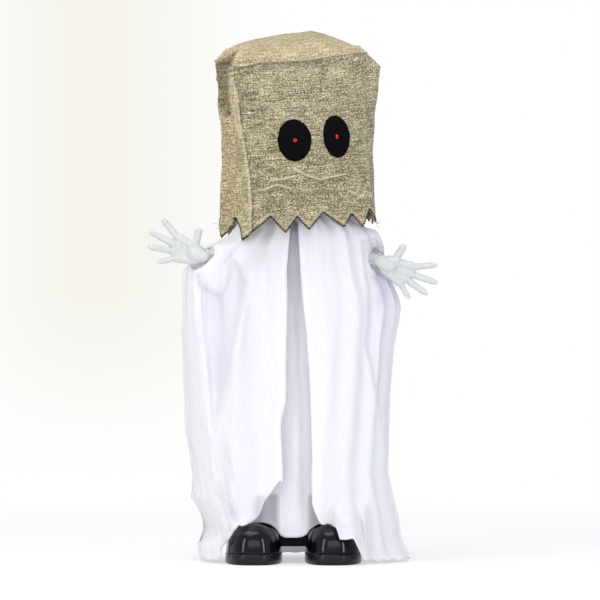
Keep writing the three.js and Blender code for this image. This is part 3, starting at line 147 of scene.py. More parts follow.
def depth_inside(across, down, corners):
    """How deep frame places lie inside a closed outline, and below zero outside it."""
    inside = np.zeros(across.shape, bool)
    closed = [*corners, corners[0]]
    for (x0, y0), (x1, y1) in zip(closed, closed[1:]):
        crosses = (y0 > down) != (y1 > down)
        edge = x0 + (down - y0) * (x1 - x0) / ((y1 - y0) or 1e-9)
        inside ^= crosses & (across < edge)
    return np.where(inside, 1, -1) * line_distance(across, down, closed)


# Meshes


@contextmanager
def edited(mesh):
    """A mesh opened for a change, which is written back at the end."""
    work = bmesh.new()
    work.from_mesh(mesh)
    yield work
    work.to_mesh(mesh)
    work.free()


def grid_mesh(name, grid, lengths, closed, kept=None):
    """A mesh over a grid of points in metres. Lengths hold how far along the cloth each point lies."""
    rows, columns = grid.shape[:2]
    wide = columns if closed else columns - 1
    i, j = np.meshgrid(np.arange(rows - 1), np.arange(wide), indexing="ij")
    cells = np.ones(i.shape, bool) if kept is None else kept
    i, j = i[cells], j[cells]
    after = (j + 1) % columns
    faces = np.stack([i * columns + j, i * columns + after,
                      (i + 1) * columns + after, (i + 1) * columns + j], axis=1)
    mesh = bpy.data.meshes.new(name)
    mesh.from_pydata(grid.reshape(-1, 3).tolist(), [], faces.tolist())
    across, up = lengths
    corner_i = np.stack([i, i, i + 1, i + 1], axis=1).ravel()
    corner_j = np.stack([j, j + 1, j + 1, j], axis=1).ravel()
    places = np.stack([across[corner_i, corner_j], up[corner_i, corner_j % columns]], axis=1)
    mesh.uv_layers.new(name="cloth").data.foreach_set("uv", places.ravel())
    mesh.shade_smooth()
    return mesh


def cloth_lengths(grid, closed):
    """How far along and up the cloth each grid point lies, in metres."""
    around = np.concatenate([grid, grid[:, :1]], axis=1) if closed else grid
    steps = np.linalg.norm(np.diff(around, axis=1), axis=2)
    across = np.concatenate([np.zeros((len(grid), 1)), np.cumsum(steps, axis=1)], axis=1)
    middle = across[len(grid) // 2]
    across = across / across[:, -1:] * middle[-1]
    rises = np.linalg.norm(np.diff(grid, axis=0), axis=2)
    up = np.concatenate([np.zeros((1, grid.shape[1])), np.cumsum(rises, axis=0)], axis=0)
    return across, up - up[len(grid) // 3]


def outward(grid, closed):
    """The unit normal at each grid point."""
    if closed:
        across = np.roll(grid, -1, axis=1) - np.roll(grid, 1, axis=1)
    else:
        across = np.gradient(grid, axis=1)
    up = np.gradient(grid, axis=0)
    normal = np.cross(across, up)
    return normal / np.maximum(np.linalg.norm(normal, axis=2, keepdims=True), 1e-9)


def cloth_piece(name, grid, closed, finish, thick, kept=None, marks=None):
    """A sheet of cloth over a grid in millimetres. Marks are named values for its finish."""
    placed = grid * MM + NECK
    mesh = grid_mesh(name, placed, cloth_lengths(placed, closed), closed, kept)
    for mark, values in (marks or {}).items():
        layer = mesh.attributes.new(mark, "FLOAT", "POINT")
        layer.data.foreach_set("value", np.asarray(values, np.float32).ravel())
    mesh.materials.append(finish)
    drop_loose(mesh)
    obj = add_object(name, mesh)
    give_wall(obj, thick)
    return obj


def drop_loose(mesh):
    """Removes points that no face uses."""
    with edited(mesh) as work:
        loose = [v for v in work.verts if not v.link_faces]
        bmesh.ops.delete(work, geom=loose, context="VERTS")


def give_wall(obj, thick):
    """Gives an open surface a wall on its inner side."""
    wall = obj.modifiers.new("wall", "SOLIDIFY")
    wall.thickness = thick * MM
    wall.offset = -1


def settled(obj, name, finish):
    """Turns an object with modifiers into a plain piece."""
    bpy.context.view_layer.update()
    ready = obj.evaluated_get(bpy.context.evaluated_depsgraph_get())
    mesh = bpy.data.meshes.new_from_object(ready)
    mesh.name = name
    mesh.materials.clear()
    mesh.materials.append(finish)
    mesh.shade_smooth()
    bpy.data.objects.remove(obj)
    return add_object(name, mesh)


def melted(obj, name, finish, grain, rounds):
    """Melts overlapping forms into one skin and softens it."""
    melt = obj.modifiers.new("melt", "REMESH")
    melt.mode, melt.voxel_size = "VOXEL", grain
    soften = obj.modifiers.new("soften", "SMOOTH")
    soften.factor, soften.iterations = 0.6, rounds
    return settled(obj, name, finish)


def ring_about(centre, r, turn, side, up):
    """Points round a centre, in the plane of two directions."""
    return centre + np.outer(r * np.cos(turn), side) + np.outer(r * np.sin(turn), up)


def ring_solid(name, rings):
    """A closed object through rings of points in metres, with a fan at each end."""
    rings = [np.asarray(ring, float) for ring in rings]
    count = len(rings[0])
    points = np.concatenate([*rings, [rings[0].mean(0)], [rings[-1].mean(0)]])
    faces = []
    for i in range(len(rings) - 1):
        for j in range(count):
            k = (j + 1) % count
            faces.append([i * count + j, i * count + k, (i + 1) * count + k, (i + 1) * count + j])
    first, last = len(points) - 2, len(points) - 1
    top = (len(rings) - 1) * count
    for j in range(count):
        k = (j + 1) % count
        faces.append([k, j, first])
        faces.append([top + j, top + k, last])
    mesh = bpy.data.meshes.new(name)
    mesh.from_pydata(points.tolist(), [], faces)
    return add_object(name, mesh)


def joined(name, objects):
    """One object of several meshes, unmerged."""
    work = bmesh.new()
    for obj in objects:
        work.from_mesh(obj.data)
        bpy.data.objects.remove(obj)
    mesh = bpy.data.meshes.new(name)
    work.to_mesh(mesh)
    work.free()
    return add_object(name, mesh)


# Finishes


def add_node(tree, kind, inlets=(), stops=(), **settings):
    """A new node with its settings made, a ramp's stops among them, and its inlets plugged in."""
    node = tree.nodes.new(kind)
    for key, value in settings.items():
        setattr(node, key, value)
    for index, (place, color) in enumerate(stops):
        ramp = node.color_ramp.elements
        stop = ramp[index] if index < len(ramp) else ramp.new(place)
        stop.position, stop.color = place, color
    for inlet, value in dict(inlets).items():
        plug(tree, node.inputs[inlet], value)
    return node


def plug(tree, inlet, value):
    """Leads a value or another node's outlet to an inlet, or sets the inlet to a constant."""
    if isinstance(value, Value):
        value = value.socket
    if isinstance(value, bpy.types.NodeSocket):
        tree.links.new(value, inlet)
    else:
        inlet.default_value = value


class Value:
    """The value of a node's outlet, with arithmetic that adds Math nodes."""

    def __init__(self, socket):
        self.socket = socket

    def math(self, operation, *others, turned=False):
        values = [self, *others]
        inlets = enumerate(values[::-1] if turned else values)
        return Value(add_node(self.socket.id_data, "ShaderNodeMath", inlets, operation=operation).outputs[0])

    def __add__(self, other):
        return self.math("ADD", other)

    __radd__ = __add__

    def __sub__(self, other):
        return self.math("SUBTRACT", other)

    def __rsub__(self, other):
        return self.math("SUBTRACT", other, turned=True)

    def __mul__(self, other):
        return self.math("MULTIPLY", other)

    __rmul__ = __mul__

    def between(self, low, high):
        """0 below low, 1 above high, eased between them."""
        inlets = enumerate((self, low, high, 0.0, 1.0))
        node = add_node(self.socket.id_data, "ShaderNodeMapRange", inlets, interpolation_type="SMOOTHSTEP")
        return Value(node.outputs[0])


class Finish:
    """A material built round one Principled shader, whose fixed values are set on its own sockets."""

    def __init__(self, name, **fixed):
        self.material = bpy.data.materials.new(name)
        self.material.use_nodes = True
        self.tree = self.material.node_tree
        self.shader = self.tree.nodes["Principled BSDF"]
        for socket, value in fixed.items():
            self.shader.inputs[socket.replace("_", " ")].default_value = value

    def add(self, kind, inlets=(), out=0, **settings):
        return Value(add_node(self.tree, "ShaderNode" + kind, inlets, **settings).outputs[out])

    def object_place(self):
        return self.add("TexCoord", out="Object")

    def cloth_place(self):
        return self.add("UVMap", uv_map="cloth")

    def stretched(self, place, scale, turn=(0, 0, 0)):
        return self.add("Mapping", {"Vector": place, "Scale": scale, "Rotation": turn})

    def noise(self, place, scale, detail=2.0, roughness=0.5, distortion=0.0):
        return self.add("TexNoise", {"Vector": place, "Scale": scale, "Detail": detail,
                                     "Roughness": roughness, "Distortion": distortion})

    def parts(self, place):
        node = add_node(self.tree, "ShaderNodeSeparateXYZ", {0: place})
        return [Value(outlet) for outlet in node.outputs]

    def mark(self, name):
        return self.add("Attribute", attribute_name=name, out="Fac")

    def mixed(self, share, first, second):
        return self.add("Mix", {0: share, 6: first, 7: second}, out=2, data_type="RGBA")

    def give(self, socket, value):
        plug(self.tree, self.shader.inputs[socket], value)

    def blend_shaders(self, share, first, second):
        return self.add("MixShader", {0: share, 1: first, 2: second})

    def show(self, shader):
        plug(self.tree, self.tree.nodes["Material Output"].inputs["Surface"], shader)

    def relief(self, height, depth, strength=1.0):
        self.give("Normal", self.add("Bump", {"Height": height, "Distance": depth, "Strength": strength}))


def burlap_finish():
    """Coarse weave with uneven threads and flecks, where the cloth is so marked: golden with painted warm
    light, pale with wear and painted highlights, dark with painted shade and stains.
    """
    pitch, sway = 0.00155, 0.0016  # from one thread to the next, and how far a thread wanders
    finish = Finish("burlap_weave", Roughness=0.92, Sheen_Weight=0.12, Sheen_Roughness=0.6)
    place = finish.cloth_place()
    wander = (finish.noise(place, 60.0, 1.0) - 0.5) * sway
    across, up, _ = finish.parts(place)
    across, up = across + wander, up + wander
    turns = math.tau / pitch
    warp = (across * turns).math("COSINE") * 0.5 + 0.5
    weft = (up * turns).math("COSINE") * 0.5 + 0.5
    over = ((across * (turns / 2)).math("SINE") * (up * (turns / 2)).math("SINE")).between(-0.3, 0.3)
    warp_slub = finish.noise(finish.stretched(place, (520, 36, 1)), 1.0, 3.0, 0.6)
    weft_slub = finish.noise(finish.stretched(place, (30, 460, 1)), 1.0, 3.0, 0.65)
    threads = warp * over + weft * (1 - over)
    slub = warp_slub * over + weft_slub * (1 - over)
    height = threads * (slub * 0.9 + 0.4)
    fibers = finish.noise(place, 1500.0, 2.0)
    flecks = finish.noise(finish.stretched(place, (330, 1300, 1)), 1.0, 2.0, 0.7)
    blotch = finish.noise(finish.object_place(), 26.0, 3.0, 0.6)
    crossing = {"X": (across * (1 / pitch)).math("FLOOR"), "Y": (up * (1 / pitch)).math("FLOOR")}
    speck = finish.add("TexWhiteNoise", {"Vector": finish.add("CombineXYZ", crossing)})
    tone = (weft_slub - 0.5) * 1.1 + (slub - 0.5) * 0.9 + (flecks - 0.5) * 1.9 + (speck - 0.5) * 0.6
    tone = tone + (fibers - 0.5) + (blotch - 0.5) * 0.35 + 0.42
    color = finish.add("ValToRGB", {"Fac": tone}, stops=[
        (0.16, (0.07, 0.055, 0.025, 1)),
        (0.38, (0.255, 0.218, 0.115, 1)),
        (0.58, (0.43, 0.375, 0.212, 1)),
        (0.86, (0.84, 0.78, 0.55, 1)),
    ])
    # Painted warm light: the lit tone of the sides, top and back
    painted_warm_light = finish.add("ValToRGB", {"Fac": tone}, stops=[
        (0.24, (0.085, 0.058, 0.02, 1)),
        (0.40, (0.36, 0.27, 0.105, 1)),
        (0.55, (0.64, 0.51, 0.235, 1)),
        (0.74, (0.97, 0.86, 0.53, 1)),
    ])
    # Painted warm light where the sides, top and back face away from the front
    color = finish.mixed(finish.mark("painted_warm_light"), color, painted_warm_light)
    gaps = 1 - threads.between(0.0, 0.36)
    color = finish.mixed(gaps * 0.35, color, (0.10, 0.078, 0.045, 1))
    # Pale where the cloth is worn and where highlights are painted along creases, the corner's ridge and the
    # top
    color = finish.mixed(finish.mark("wear_and_highlight"), color, (0.80, 0.72, 0.53, 1))
    # Dark where shade is painted along seams, under creases and in the corner's hollow, and on the stains
    color = finish.mixed(finish.mark("shade_and_stains"), color, (0.05, 0.04, 0.028, 1))
    finish.give("Base Color", color)
    finish.relief(height + fibers * 0.3, 0.0006, 0.9)
    return finish.material


def voile_finish(name, color, cover, light_through):
    """Sheer cloth: cover is how much of what lies behind it is hidden where it lies flat."""
    pitch = 0.0007  # from one thread to the next
    finish = Finish(name, Roughness=0.7, Specular_IOR_Level=0.3)
    place = finish.cloth_place()
    across, up, _ = finish.parts(place)
    turns = math.tau / pitch
    weave = (across * turns).math("SINE") * (up * turns).math("SINE")
    slub = finish.noise(finish.stretched(place, (900, 30, 1)), 1.0, 2.0)
    crinkle = finish.noise(finish.stretched(place, (120, 34, 1)), 1.0, 3.0, 0.55)
    shade = finish.mark("shade")
    tint = finish.mixed(slub * 0.06, color, (0.88, 0.88, 0.95, 1))
    tint = finish.mixed(shade, tint, (0.70, 0.68, 0.86, 1))
    finish.give("Base Color", tint)
    finish.relief(weave * 0.25 + crinkle, 0.0008, 0.35)
    thin = finish.mark("thin")
    hidden = finish.mark("band") * (0.97 - cover) + cover + (slub - 0.5) * 0.10 - thin * 0.35
    wall_hides = 1 - (1 - hidden).math("SQRT")  # a sheet has two walls
    glow = finish.add("BsdfTranslucent", {"Color": color})
    clear = finish.add("BsdfTransparent")
    cloth = finish.blend_shaders(light_through, finish.shader.outputs[0], glow)
    finish.show(finish.blend_shaders(wall_hides, clear, cloth))
    return finish.material


def felt_finish():
    finish = Finish("black_felt", Roughness=1.0, Specular_IOR_Level=0.1)
    place = finish.object_place()
    fuzz = finish.noise(place, 900.0, 4.0, 0.7, 1.5)
    mottle = finish.noise(place, 120.0, 3.0)
    color = finish.add("ValToRGB", {"Fac": fuzz * 0.7 + mottle * 0.3}, stops=[
        (0.3, (0.0008, 0.0008, 0.0012, 1)), (0.75, (0.003, 0.003, 0.0045, 1))])
    finish.give("Base Color", color)
    finish.relief(fuzz, 0.0006, 0.8)
    return finish.material


def thread_finish(name, dark, light):
    finish = Finish(name, Roughness=0.8)
    place = finish.object_place()
    twist = finish.noise(place, 1400.0, 2.0, 0.5, 1.0)
    finish.give("Base Color", finish.mixed(twist, dark, light))
    finish.relief(twist, 0.0003, 0.6)
    return finish.material


def glossy_boot_finish():
    finish = Finish("glossy_boot_vinyl", Specular_IOR_Level=0.27)
    place = finish.object_place()
    orange_peel = finish.noise(place, 260.0, 2.0)
    haze = finish.noise(place, 30.0, 3.0, 0.6)
    specks = finish.noise(place, 1200.0, 1.0).between(0.70, 0.80)
    color = finish.mixed(haze * 0.6, (0.002, 0.002, 0.004, 1), (0.005, 0.0055, 0.011, 1))
    finish.give("Base Color", finish.mixed(specks * 0.25, color, (0.05, 0.05, 0.06, 1)))
    finish.give("Roughness", haze * 0.08 + 0.07)
    finish.relief(orange_peel, 0.0004, 0.25)
    return finish.material


def sole_finish():
    finish = Finish("moulded_sole", Specular_IOR_Level=0.22)
    place = finish.object_place()
    grain = finish.noise(place, 420.0, 3.0)
    scuff = finish.noise(finish.stretched(place, (60, 60, 600)), 1.0, 3.0, 0.7).between(0.6, 0.8)
    finish.give("Base Color", finish.mixed(scuff * 0.3, (0.008, 0.008, 0.012, 1), (0.04, 0.04, 0.048, 1)))
    finish.give("Roughness", grain * 0.2 + scuff * 0.25 + 0.16)
    finish.relief(grain, 0.0003, 0.3)
    return finish.material


def hand_finish():
    finish = Finish("soft_white_vinyl", IOR=1.46)
    place = finish.object_place()
    mottle = finish.noise(place, 70.0, 4.0, 0.6)
    pores = finish.noise(place, 900.0, 2.0)
    painted_crease_shade = finish.mark("crease_depth_and_shade")
    color = finish.mixed(mottle, (0.50, 0.535, 0.52, 1), (0.575, 0.605, 0.605, 1))
    # Painted shade in the palm's lines and the finger joints
    color = finish.mixed(painted_crease_shade * 0.3, color, (0.45, 0.47, 0.38, 1))
    finish.give("Base Color", color)
    finish.give("Roughness", mottle * 0.2 + 0.42)
    finish.relief(pores * 0.5 + mottle, 0.0005, 0.3)
    return finish.material


def led_finish():
    finish = Finish("lit_red_lens", Roughness=0.6, Specular_IOR_Level=0.05, Emission_Strength=1.0)
    place = finish.object_place()
    swirl = finish.noise(place, 400.0, 1.0)
    finish.give("Base Color", finish.mixed(swirl, (0.25, 0.002, 0.002, 1), (0.35, 0.004, 0.004, 1)))
    finish.give("Emission Color", finish.mixed(swirl, (1.0, 0.003, 0.003, 1), (1.0, 0.012, 0.01, 1)))
    return finish.material


def moulded_finish(name, dark, light, roughness=0.5, shine=0.5):
    """Moulded plastic with a fine grain and a faint unevenness of colour."""
    finish = Finish(name, Specular_IOR_Level=shine)
    place = finish.object_place()
    grain = finish.noise(place, 700.0, 2.0)
    cloud = finish.noise(place, 24.0, 3.0)
    finish.give("Base Color", finish.mixed(cloud, dark, light))
    finish.give("Roughness", grain * 0.2 + (roughness - 0.1))
    finish.relief(grain, 0.0002, 0.4)
    return finish.material


def metal_finish(name, dark, light, roughness):
    """Drawn or plated metal with fine lines along z."""
    finish = Finish(name, Metallic=1.0)
    place = finish.object_place()
    lines = finish.noise(finish.stretched(place, (30, 30, 900)), 1.0, 3.0)
    cloud = finish.noise(place, 18.0, 2.0)
    finish.give("Base Color", finish.mixed(cloud, dark, light))
    finish.give("Roughness", lines * 0.25 + (roughness - 0.12))
    finish.relief(lines, 0.0001, 0.3)
    return finish.material


BURLAP = burlap_finish()
VOILE = voile_finish("sheer_voile", (0.955, 0.96, 0.985, 1), cover=0.90, light_through=0.18)
GOWN_VOILE = voile_finish("sheer_gown_voile", (0.975, 0.965, 0.995, 1), cover=0.87, light_through=0.06)
FELT = felt_finish()
DARK_THREAD = thread_finish("overlock_thread", (0.004, 0.003, 0.003, 1), (0.02, 0.013, 0.009, 1))
BURLAP_THREAD = thread_finish("burlap_strand", (0.34, 0.26, 0.15, 1), (0.62, 0.54, 0.38, 1))
BOOT_VINYL = glossy_boot_finish()
SOLE_VINYL = sole_finish()
HAND_VINYL = hand_finish()
SLOT_FINISHES = {
    "frame_black": moulded_finish(
        "satin_black_coat", (0.003, 0.003, 0.005, 1), (0.006, 0.006, 0.009, 1), shine=0.15),
    "tube_steel": metal_finish("dark_tube", (0.045, 0.045, 0.055, 1), (0.08, 0.08, 0.09, 1), 0.45),
    "moulded_black": moulded_finish("moulded_black", (0.012, 0.012, 0.014, 1), (0.024, 0.024, 0.028, 1)),
    "bright_steel": metal_finish("zinc_plate", (0.5, 0.5, 0.52, 1), (0.66, 0.66, 0.67, 1), 0.32),
    "nylon": moulded_finish("natural_nylon", (0.70, 0.67, 0.57, 1), (0.78, 0.75, 0.66, 1), 0.45),
    "moulded_white": moulded_finish("moulded_white", (0.62, 0.62, 0.60, 1), (0.70, 0.70, 0.68, 1)),
    "red_lens": led_finish(),
    "wire_black": moulded_finish("wire_sleeve", (0.008, 0.008, 0.008, 1), (0.02, 0.02, 0.02, 1), 0.45),
    "battery_label": moulded_finish("battery_wrap", (0.03, 0.09, 0.22, 1), (0.05, 0.13, 0.30, 1), 0.3),
    "board_green": moulded_finish("board_green", (0.015, 0.09, 0.035, 1), (0.03, 0.14, 0.06, 1), 0.4),
}


def finish_carried_nodes():
    """Gives each CAD node that stays in view the finish of its slot."""
    for row in frame["record"]["subparts"]:
        finish = SLOT_FINISHES.get(row["material_slot"])
        if finish is None:
            continue
        for place in frame["nodes"][row["node"]].material_slots:
            place.material = finish


finish_carried_nodes()

# Sack

SACK_SHIFT = 7  # the sack's middle from the neck's axis, in the head's own frame
SACK_HEM, SACK_SEAM, SACK_DOME = 579, 861, 41  # heights of the hem and the seam, and the dome's above it
SACK_CORNERS = [[0, 22], [0.3, 12], [1, 9]]  # radius by level
SACK_SLANT, SLANT_FADE = 0.095, 0.56  # of the rings below, and the level from which it fades
TOP_LIFT, TOP_SLANT, TOP_PITCH = 7.0, 0.087, 0.15  # of the top seam's plane
# By level: half width and depth, the bulge of the face and the back, and how far the sides fold in
SACK_WIDTHS = [[0, 114], [0.35, 114], [0.6, 118], [0.8, 128], [1, 133]]
SACK_DEPTHS = [[0, 110], [0.5, 78], [0.8, 68], [1, 62]]
FACE_BULGES = [[0, 6], [0.5, 40], [0.8, 24], [1, 8]]
BACK_BULGES = [[0, 4], [0.5, 16], [0.8, 12], [1, 6]]
SIDE_FOLDS = [[0, 0], [0.45, 4], [0.8, 20], [1, 12]]
SACK_COLUMNS = 284
CUT_LEVEL = 0.16  # the rows below it carry the zigzag cut
SEEN = 0.1  # where the surface's normal along y is below this, the photograph shows it
HIDDEN_TEETH = 9
# The zigzag hem as the photograph shows it, from the left of the frame to the right
FRONT_HEM = [(219, 214), (223.5, 238), (237, 218), (242.5, 240.5), (271, 217), (286, 233), (297, 217),
             (309, 230), (323, 212.5), (344, 227.5), (351, 214), (363, 227.5), (369, 209), (377, 224)]


def rounded_outline(shares, half_width, half_depth, r):
    """Points at shares of the way round a rounded rectangle, from the middle of its front."""
    turn = np.linspace(0, math.pi / 2, 9)
    corners = [(half_width - r, r - half_depth, -math.pi / 2), (half_width - r, half_depth - r, 0),
               (r - half_width, half_depth - r, math.pi / 2), (r - half_width, r - half_depth, math.pi)]
    path = [(0.0, -half_depth)]
    for x, y, start in corners:
        path += [(x + r * math.cos(start + a), y + r * math.sin(start + a)) for a in turn]
    path = np.array([*path, (0.0, -half_depth)])
    along = np.concatenate([[0], np.cumsum(np.linalg.norm(np.diff(path, axis=0), axis=1))])
    place = shares * along[-1]
    return np.interp(place, along, path[:, 0]), np.interp(place, along, path[:, 1])


def sack_ring(shares, level, shrink=1.0, lift=0.0):
    """A ring of the sack's smooth surface in the head's own frame."""
    half_width = eased(SACK_WIDTHS, level)
    half_depth = eased(SACK_DEPTHS, level)
    x, y = rounded_outline(shares, half_width, half_depth, eased(SACK_CORNERS, level))
    across = np.maximum(0, 1 - (x / half_width) ** 2)
    bulge = np.where(y < 0, eased(FACE_BULGES, level), eased(BACK_BULGES, level))
    y_out = y + np.sign(y) * bulge * across * np.minimum(1, np.abs(y) / half_depth)
    fold = eased(SIDE_FOLDS, level) * np.exp(-((y / 26) ** 2))
    x_in = x - np.sign(x) * fold * np.minimum(1, np.abs(x) / half_width)
    x_in, y_out = x_in * shrink, y_out * shrink
    slant = SACK_SLANT * (1 - smooth(level, SLANT_FADE, 1))
    top = smooth(level, 0.62, 1.0)
    z = SACK_HEM + (SACK_SEAM - SACK_HEM) * level + lift + slant * x_in
    z = z + top * (TOP_LIFT + TOP_SLANT * x_in + TOP_PITCH * y_out)
    return np.stack([x_in + SACK_SHIFT, y_out, z], axis=1)


def face_depth(x, level):
    """How far forward the sack's face stands, as in the solids."""
    half_width = eased(SACK_WIDTHS, level)
    bulge = eased(FACE_BULGES, level)
    return eased(SACK_DEPTHS, level) + bulge * np.maximum(0, 1 - (x / half_width) ** 2)


def face_point(x, z, lift):
    level = (z - SACK_SLANT * x - SACK_HEM) / (SACK_SEAM - SACK_HEM)
    return np.stack([x + SACK_SHIFT, -face_depth(x, level) - lift, z], axis=-1)


def hem_drops(ring):
    """How far each column's hem lies below or above the smooth ring: the zigzag cut."""
    across, _ = frame_place(ring)
    count = len(ring)
    middle = int(np.argmin(np.where(ring[:, 1] < 0, np.abs(ring[:, 0]), 1e9)))
    left, right = middle, middle
    while across[(left - 1) % count] < across[left % count]:
        left -= 1
    while across[(right + 1) % count] > across[right % count]:
        right += 1
    drops = np.zeros(count)
    front = np.arange(left, right + 1)
    columns = front % count
    down = np.interp(across[columns], *np.array(FRONT_HEM).T)
    near = 1 + ring[columns, 1] / CAMERA_AWAY
    drops[columns] = CAMERA_Z + (FRAME_SIDE / 2 - down) * PIXEL * near - ring[columns, 2]
    hidden = np.arange(right + 1, left + count)
    tips = np.arange(2 * HIDDEN_TEETH + 1)
    heights = np.where(tips % 2 == 0, 1, -1) * chance.uniform(9, 16, len(tips)) + 5
    phase = np.linspace(0, tips[-1], len(hidden))
    depths = np.interp(phase, tips, heights)
    ease = 1 - smooth(np.minimum(phase, tips[-1] - phase), 0, 1)
    near_end = np.where(phase < HIDDEN_TEETH, drops[right % count], drops[left % count])
    drops[hidden % count] = depths * (1 - ease) + near_end * ease
    return drops


# Creases of the sack's front: line in the frame, height in millimetres, width in pixels, and how strong its
# pale line (part wear, part painted highlight) and the painted shadow under it are
SACK_CREASES = [
    ([(253, 191.5), (266, 189), (277, 184.5), (292, 189)], 3.8, 1.2, 0.9),
    ([(271, 180.5), (284, 179), (295, 176)], 3.6, 1.2, 0.9),
    ([(294, 169), (306, 175), (320, 179.5), (333, 176.5), (346, 174)], 4.4, 1.2, 1.0),
    ([(339, 193), (346, 198), (353, 204)], 2.6, 1.4, 0.6),
    ([(350, 191), (360, 196), (372, 196)], 4.2, 1.4, 1.0),
    ([(352, 166), (357, 172), (361, 180)], 2.0, 1.5, 0.4),
    ([(300, 186), (312, 192)], 1.6, 1.6, 0.3),
    ([(318, 205), (324, 211)], 1.6, 1.6, 0.4),
    ([(242, 106), (252, 104), (275, 106), (310, 105), (343, 108)], 2.4, 2.4, 0.2),
    ([(246, 112), (280, 114), (320, 113)], -2.2, 4.5, 0.0),
    ([(268, 74), (290, 77), (318, 73)], 2.0, 4.0, 0.1),
    ([(252, 84), (290, 89), (340, 80)], -2.0, 6.0, 0.0),
    ([(256, 196), (276, 190), (300, 186), (324, 186)], -2.2, 3.2, 0.0),
    ([(274, 185), (292, 182), (300, 178)], -2.0, 2.6, 0.0),
    ([(240, 158), (252, 168), (262, 182)], -2.4, 3.2, 0.0),
    ([(258, 120), (262, 150), (259, 176)], -2.0, 4.5, 0.0),
    ([(268, 198), (276, 208), (279, 224)], -2.6, 3.4, 0.0),
    ([(300, 196), (303, 205), (301, 218)], -2.0, 3.2, 0.0),
    ([(330, 185), (333, 200), (331, 214)], 2.0, 4.0, 0.1),
    ([(285, 196), (288, 206), (289, 220)], 1.8, 4.0, 0.1),
    ([(360, 70), (364, 100), (366, 150), (370, 200)], 3.0, 2.2, 0.1),
]
FRONT_TOP_SEAM = [(229, 71), (238, 68), (262, 62.5), (288, 62), (308, 60.5), (328, 58), (350, 55),
                  (367, 52)]
LEFT_SEAM = [(230, 70), (237, 90), (241.5, 122), (246, 146), (251, 178), (252.6, 205), (252, 236)]
SIDE_TOP_SEAM = [(214, 60), (222, 62.5), (230, 69)]
# The ridge that the front-left corner's cloth stands up in, and the outline of the top
CORNER_RIDGE = [(243, 47), (236, 58), (231, 69), (229.5, 80), (230, 100), (233.5, 116), (239, 138)]
TOP_OUTLINE = [(215, 62), (219, 55), (226, 49.5), (240, 43.5), (254, 39.5), (285, 34.5), (312, 31),
               (326, 34.5), (340, 39.5), (363, 48.5)]
# Where the fit to the outline begins and ends across the frame, and each blunt corner's place and slope
FIT_BEGINS, FIT_ENDS = (214, 222), (352, 364)
LEFT_CORNER, RIGHT_CORNER = (214.5, 61.5, -1.12), (362, 48.5, 1.1)
LEFT_CORNER_ENDS, RIGHT_CORNER_BEGINS = (228, 225), (358, 364)
# The eyes' middles and half sizes, and the stains' middles, widths and strengths
EYE_SPOTS = [(294.7, 140.8, 22, 26), (337.5, 136, 19, 26)]
STAINS = [(248, 72, 2.6, 0.45), (360, 200, 1.6, 0.6)]


def dome_lift(shares, shrink):
    """How far the top stands above its seam: full at the sides, sloping at the front and back."""
    ring = sack_ring(shares, 1.0)
    across = (ring[:, 0] - SACK_SHIFT) / eased(SACK_WIDTHS, 1)
    deep = ring[:, 1] / eased(SACK_DEPTHS, 1)
    frontal = deep**2 / (across**2 + deep**2)
    full, sloping = (1 - shrink**1.9) ** 0.65, 1 - shrink**1.35
    return (full + (sloping - full) * frontal) * SACK_DOME


# The hollow behind the front-left corner, where the cloth is painted darker as shade
SIDE_DENT = [(241, 48), (236, 55), (230, 68), (228, 80), (228.5, 100), (232, 115), (225, 119), (217, 108),
             (215, 80), (215, 64), (222, 60), (231, 54)]


def sack_grid():
    """The sack's smooth surface with the zigzag cut, in rings from the hem to the top."""
    even = np.arange(SACK_COLUMNS) / SACK_COLUMNS
    shares = even - 0.4 * np.sin(math.tau * even) / math.tau  # closer together on the front
    levels = np.concatenate([np.linspace(0, CUT_LEVEL, 12)[:-1], np.linspace(CUT_LEVEL, 1, 132)])
    rows = [sack_ring(shares, level) for level in levels]
    drops = hem_drops(about_neck(rows[0], YAW))
    for row, level in zip(rows, levels):
        row[:, 2] += drops * (1 - smooth(level, 0, 0.2))
    for shrink in np.linspace(0.985, 0.02, 26):
        rows.append(sack_ring(shares, 1.0, shrink, dome_lift(shares, shrink)))
    return about_neck(np.array(rows), YAW)


def fit_top(grid):
    """Brings the top to the photograph's outline, with the high point to one side and a blunt corner."""
    left, right, step, below_all = 214, 384, 2.0, 400.0
    across, down = frame_place(grid)
    bins = np.arange(left, right, step)
    spots = np.clip(((across - (left - step / 2)) / step).astype(int), 0, len(bins) - 1)
    highest = np.full(len(bins), below_all)
    np.minimum.at(highest, spots.ravel(), down.ravel())
    mine = np.interp(across, bins, highest)
    seam = np.interp(across, *np.array(SIDE_TOP_SEAM + FRONT_TOP_SEAM).T)
    wanted = np.interp(across, *np.array(TOP_OUTLINE).T)
    share = np.clip((seam - down) / np.maximum(seam - mine, 1), 0, 1)
    change = share * (wanted - mine) * smooth(across, *FIT_BEGINS) * (1 - smooth(across, *FIT_ENDS))
    blunt = np.zeros(across.shape)
    for (x, y, slope), span in ((RIGHT_CORNER, RIGHT_CORNER_BEGINS), (LEFT_CORNER, LEFT_CORNER_ENDS)):
        blunt += np.maximum(0, y + (across - x) * slope - down - change) * smooth(across, *span)
    near = 1 + grid[..., 1] / CAMERA_AWAY
    grid[..., 2] -= (change + blunt * 0.9 * smooth(60 - down, -60, 0)) * PIXEL * near
    return grid


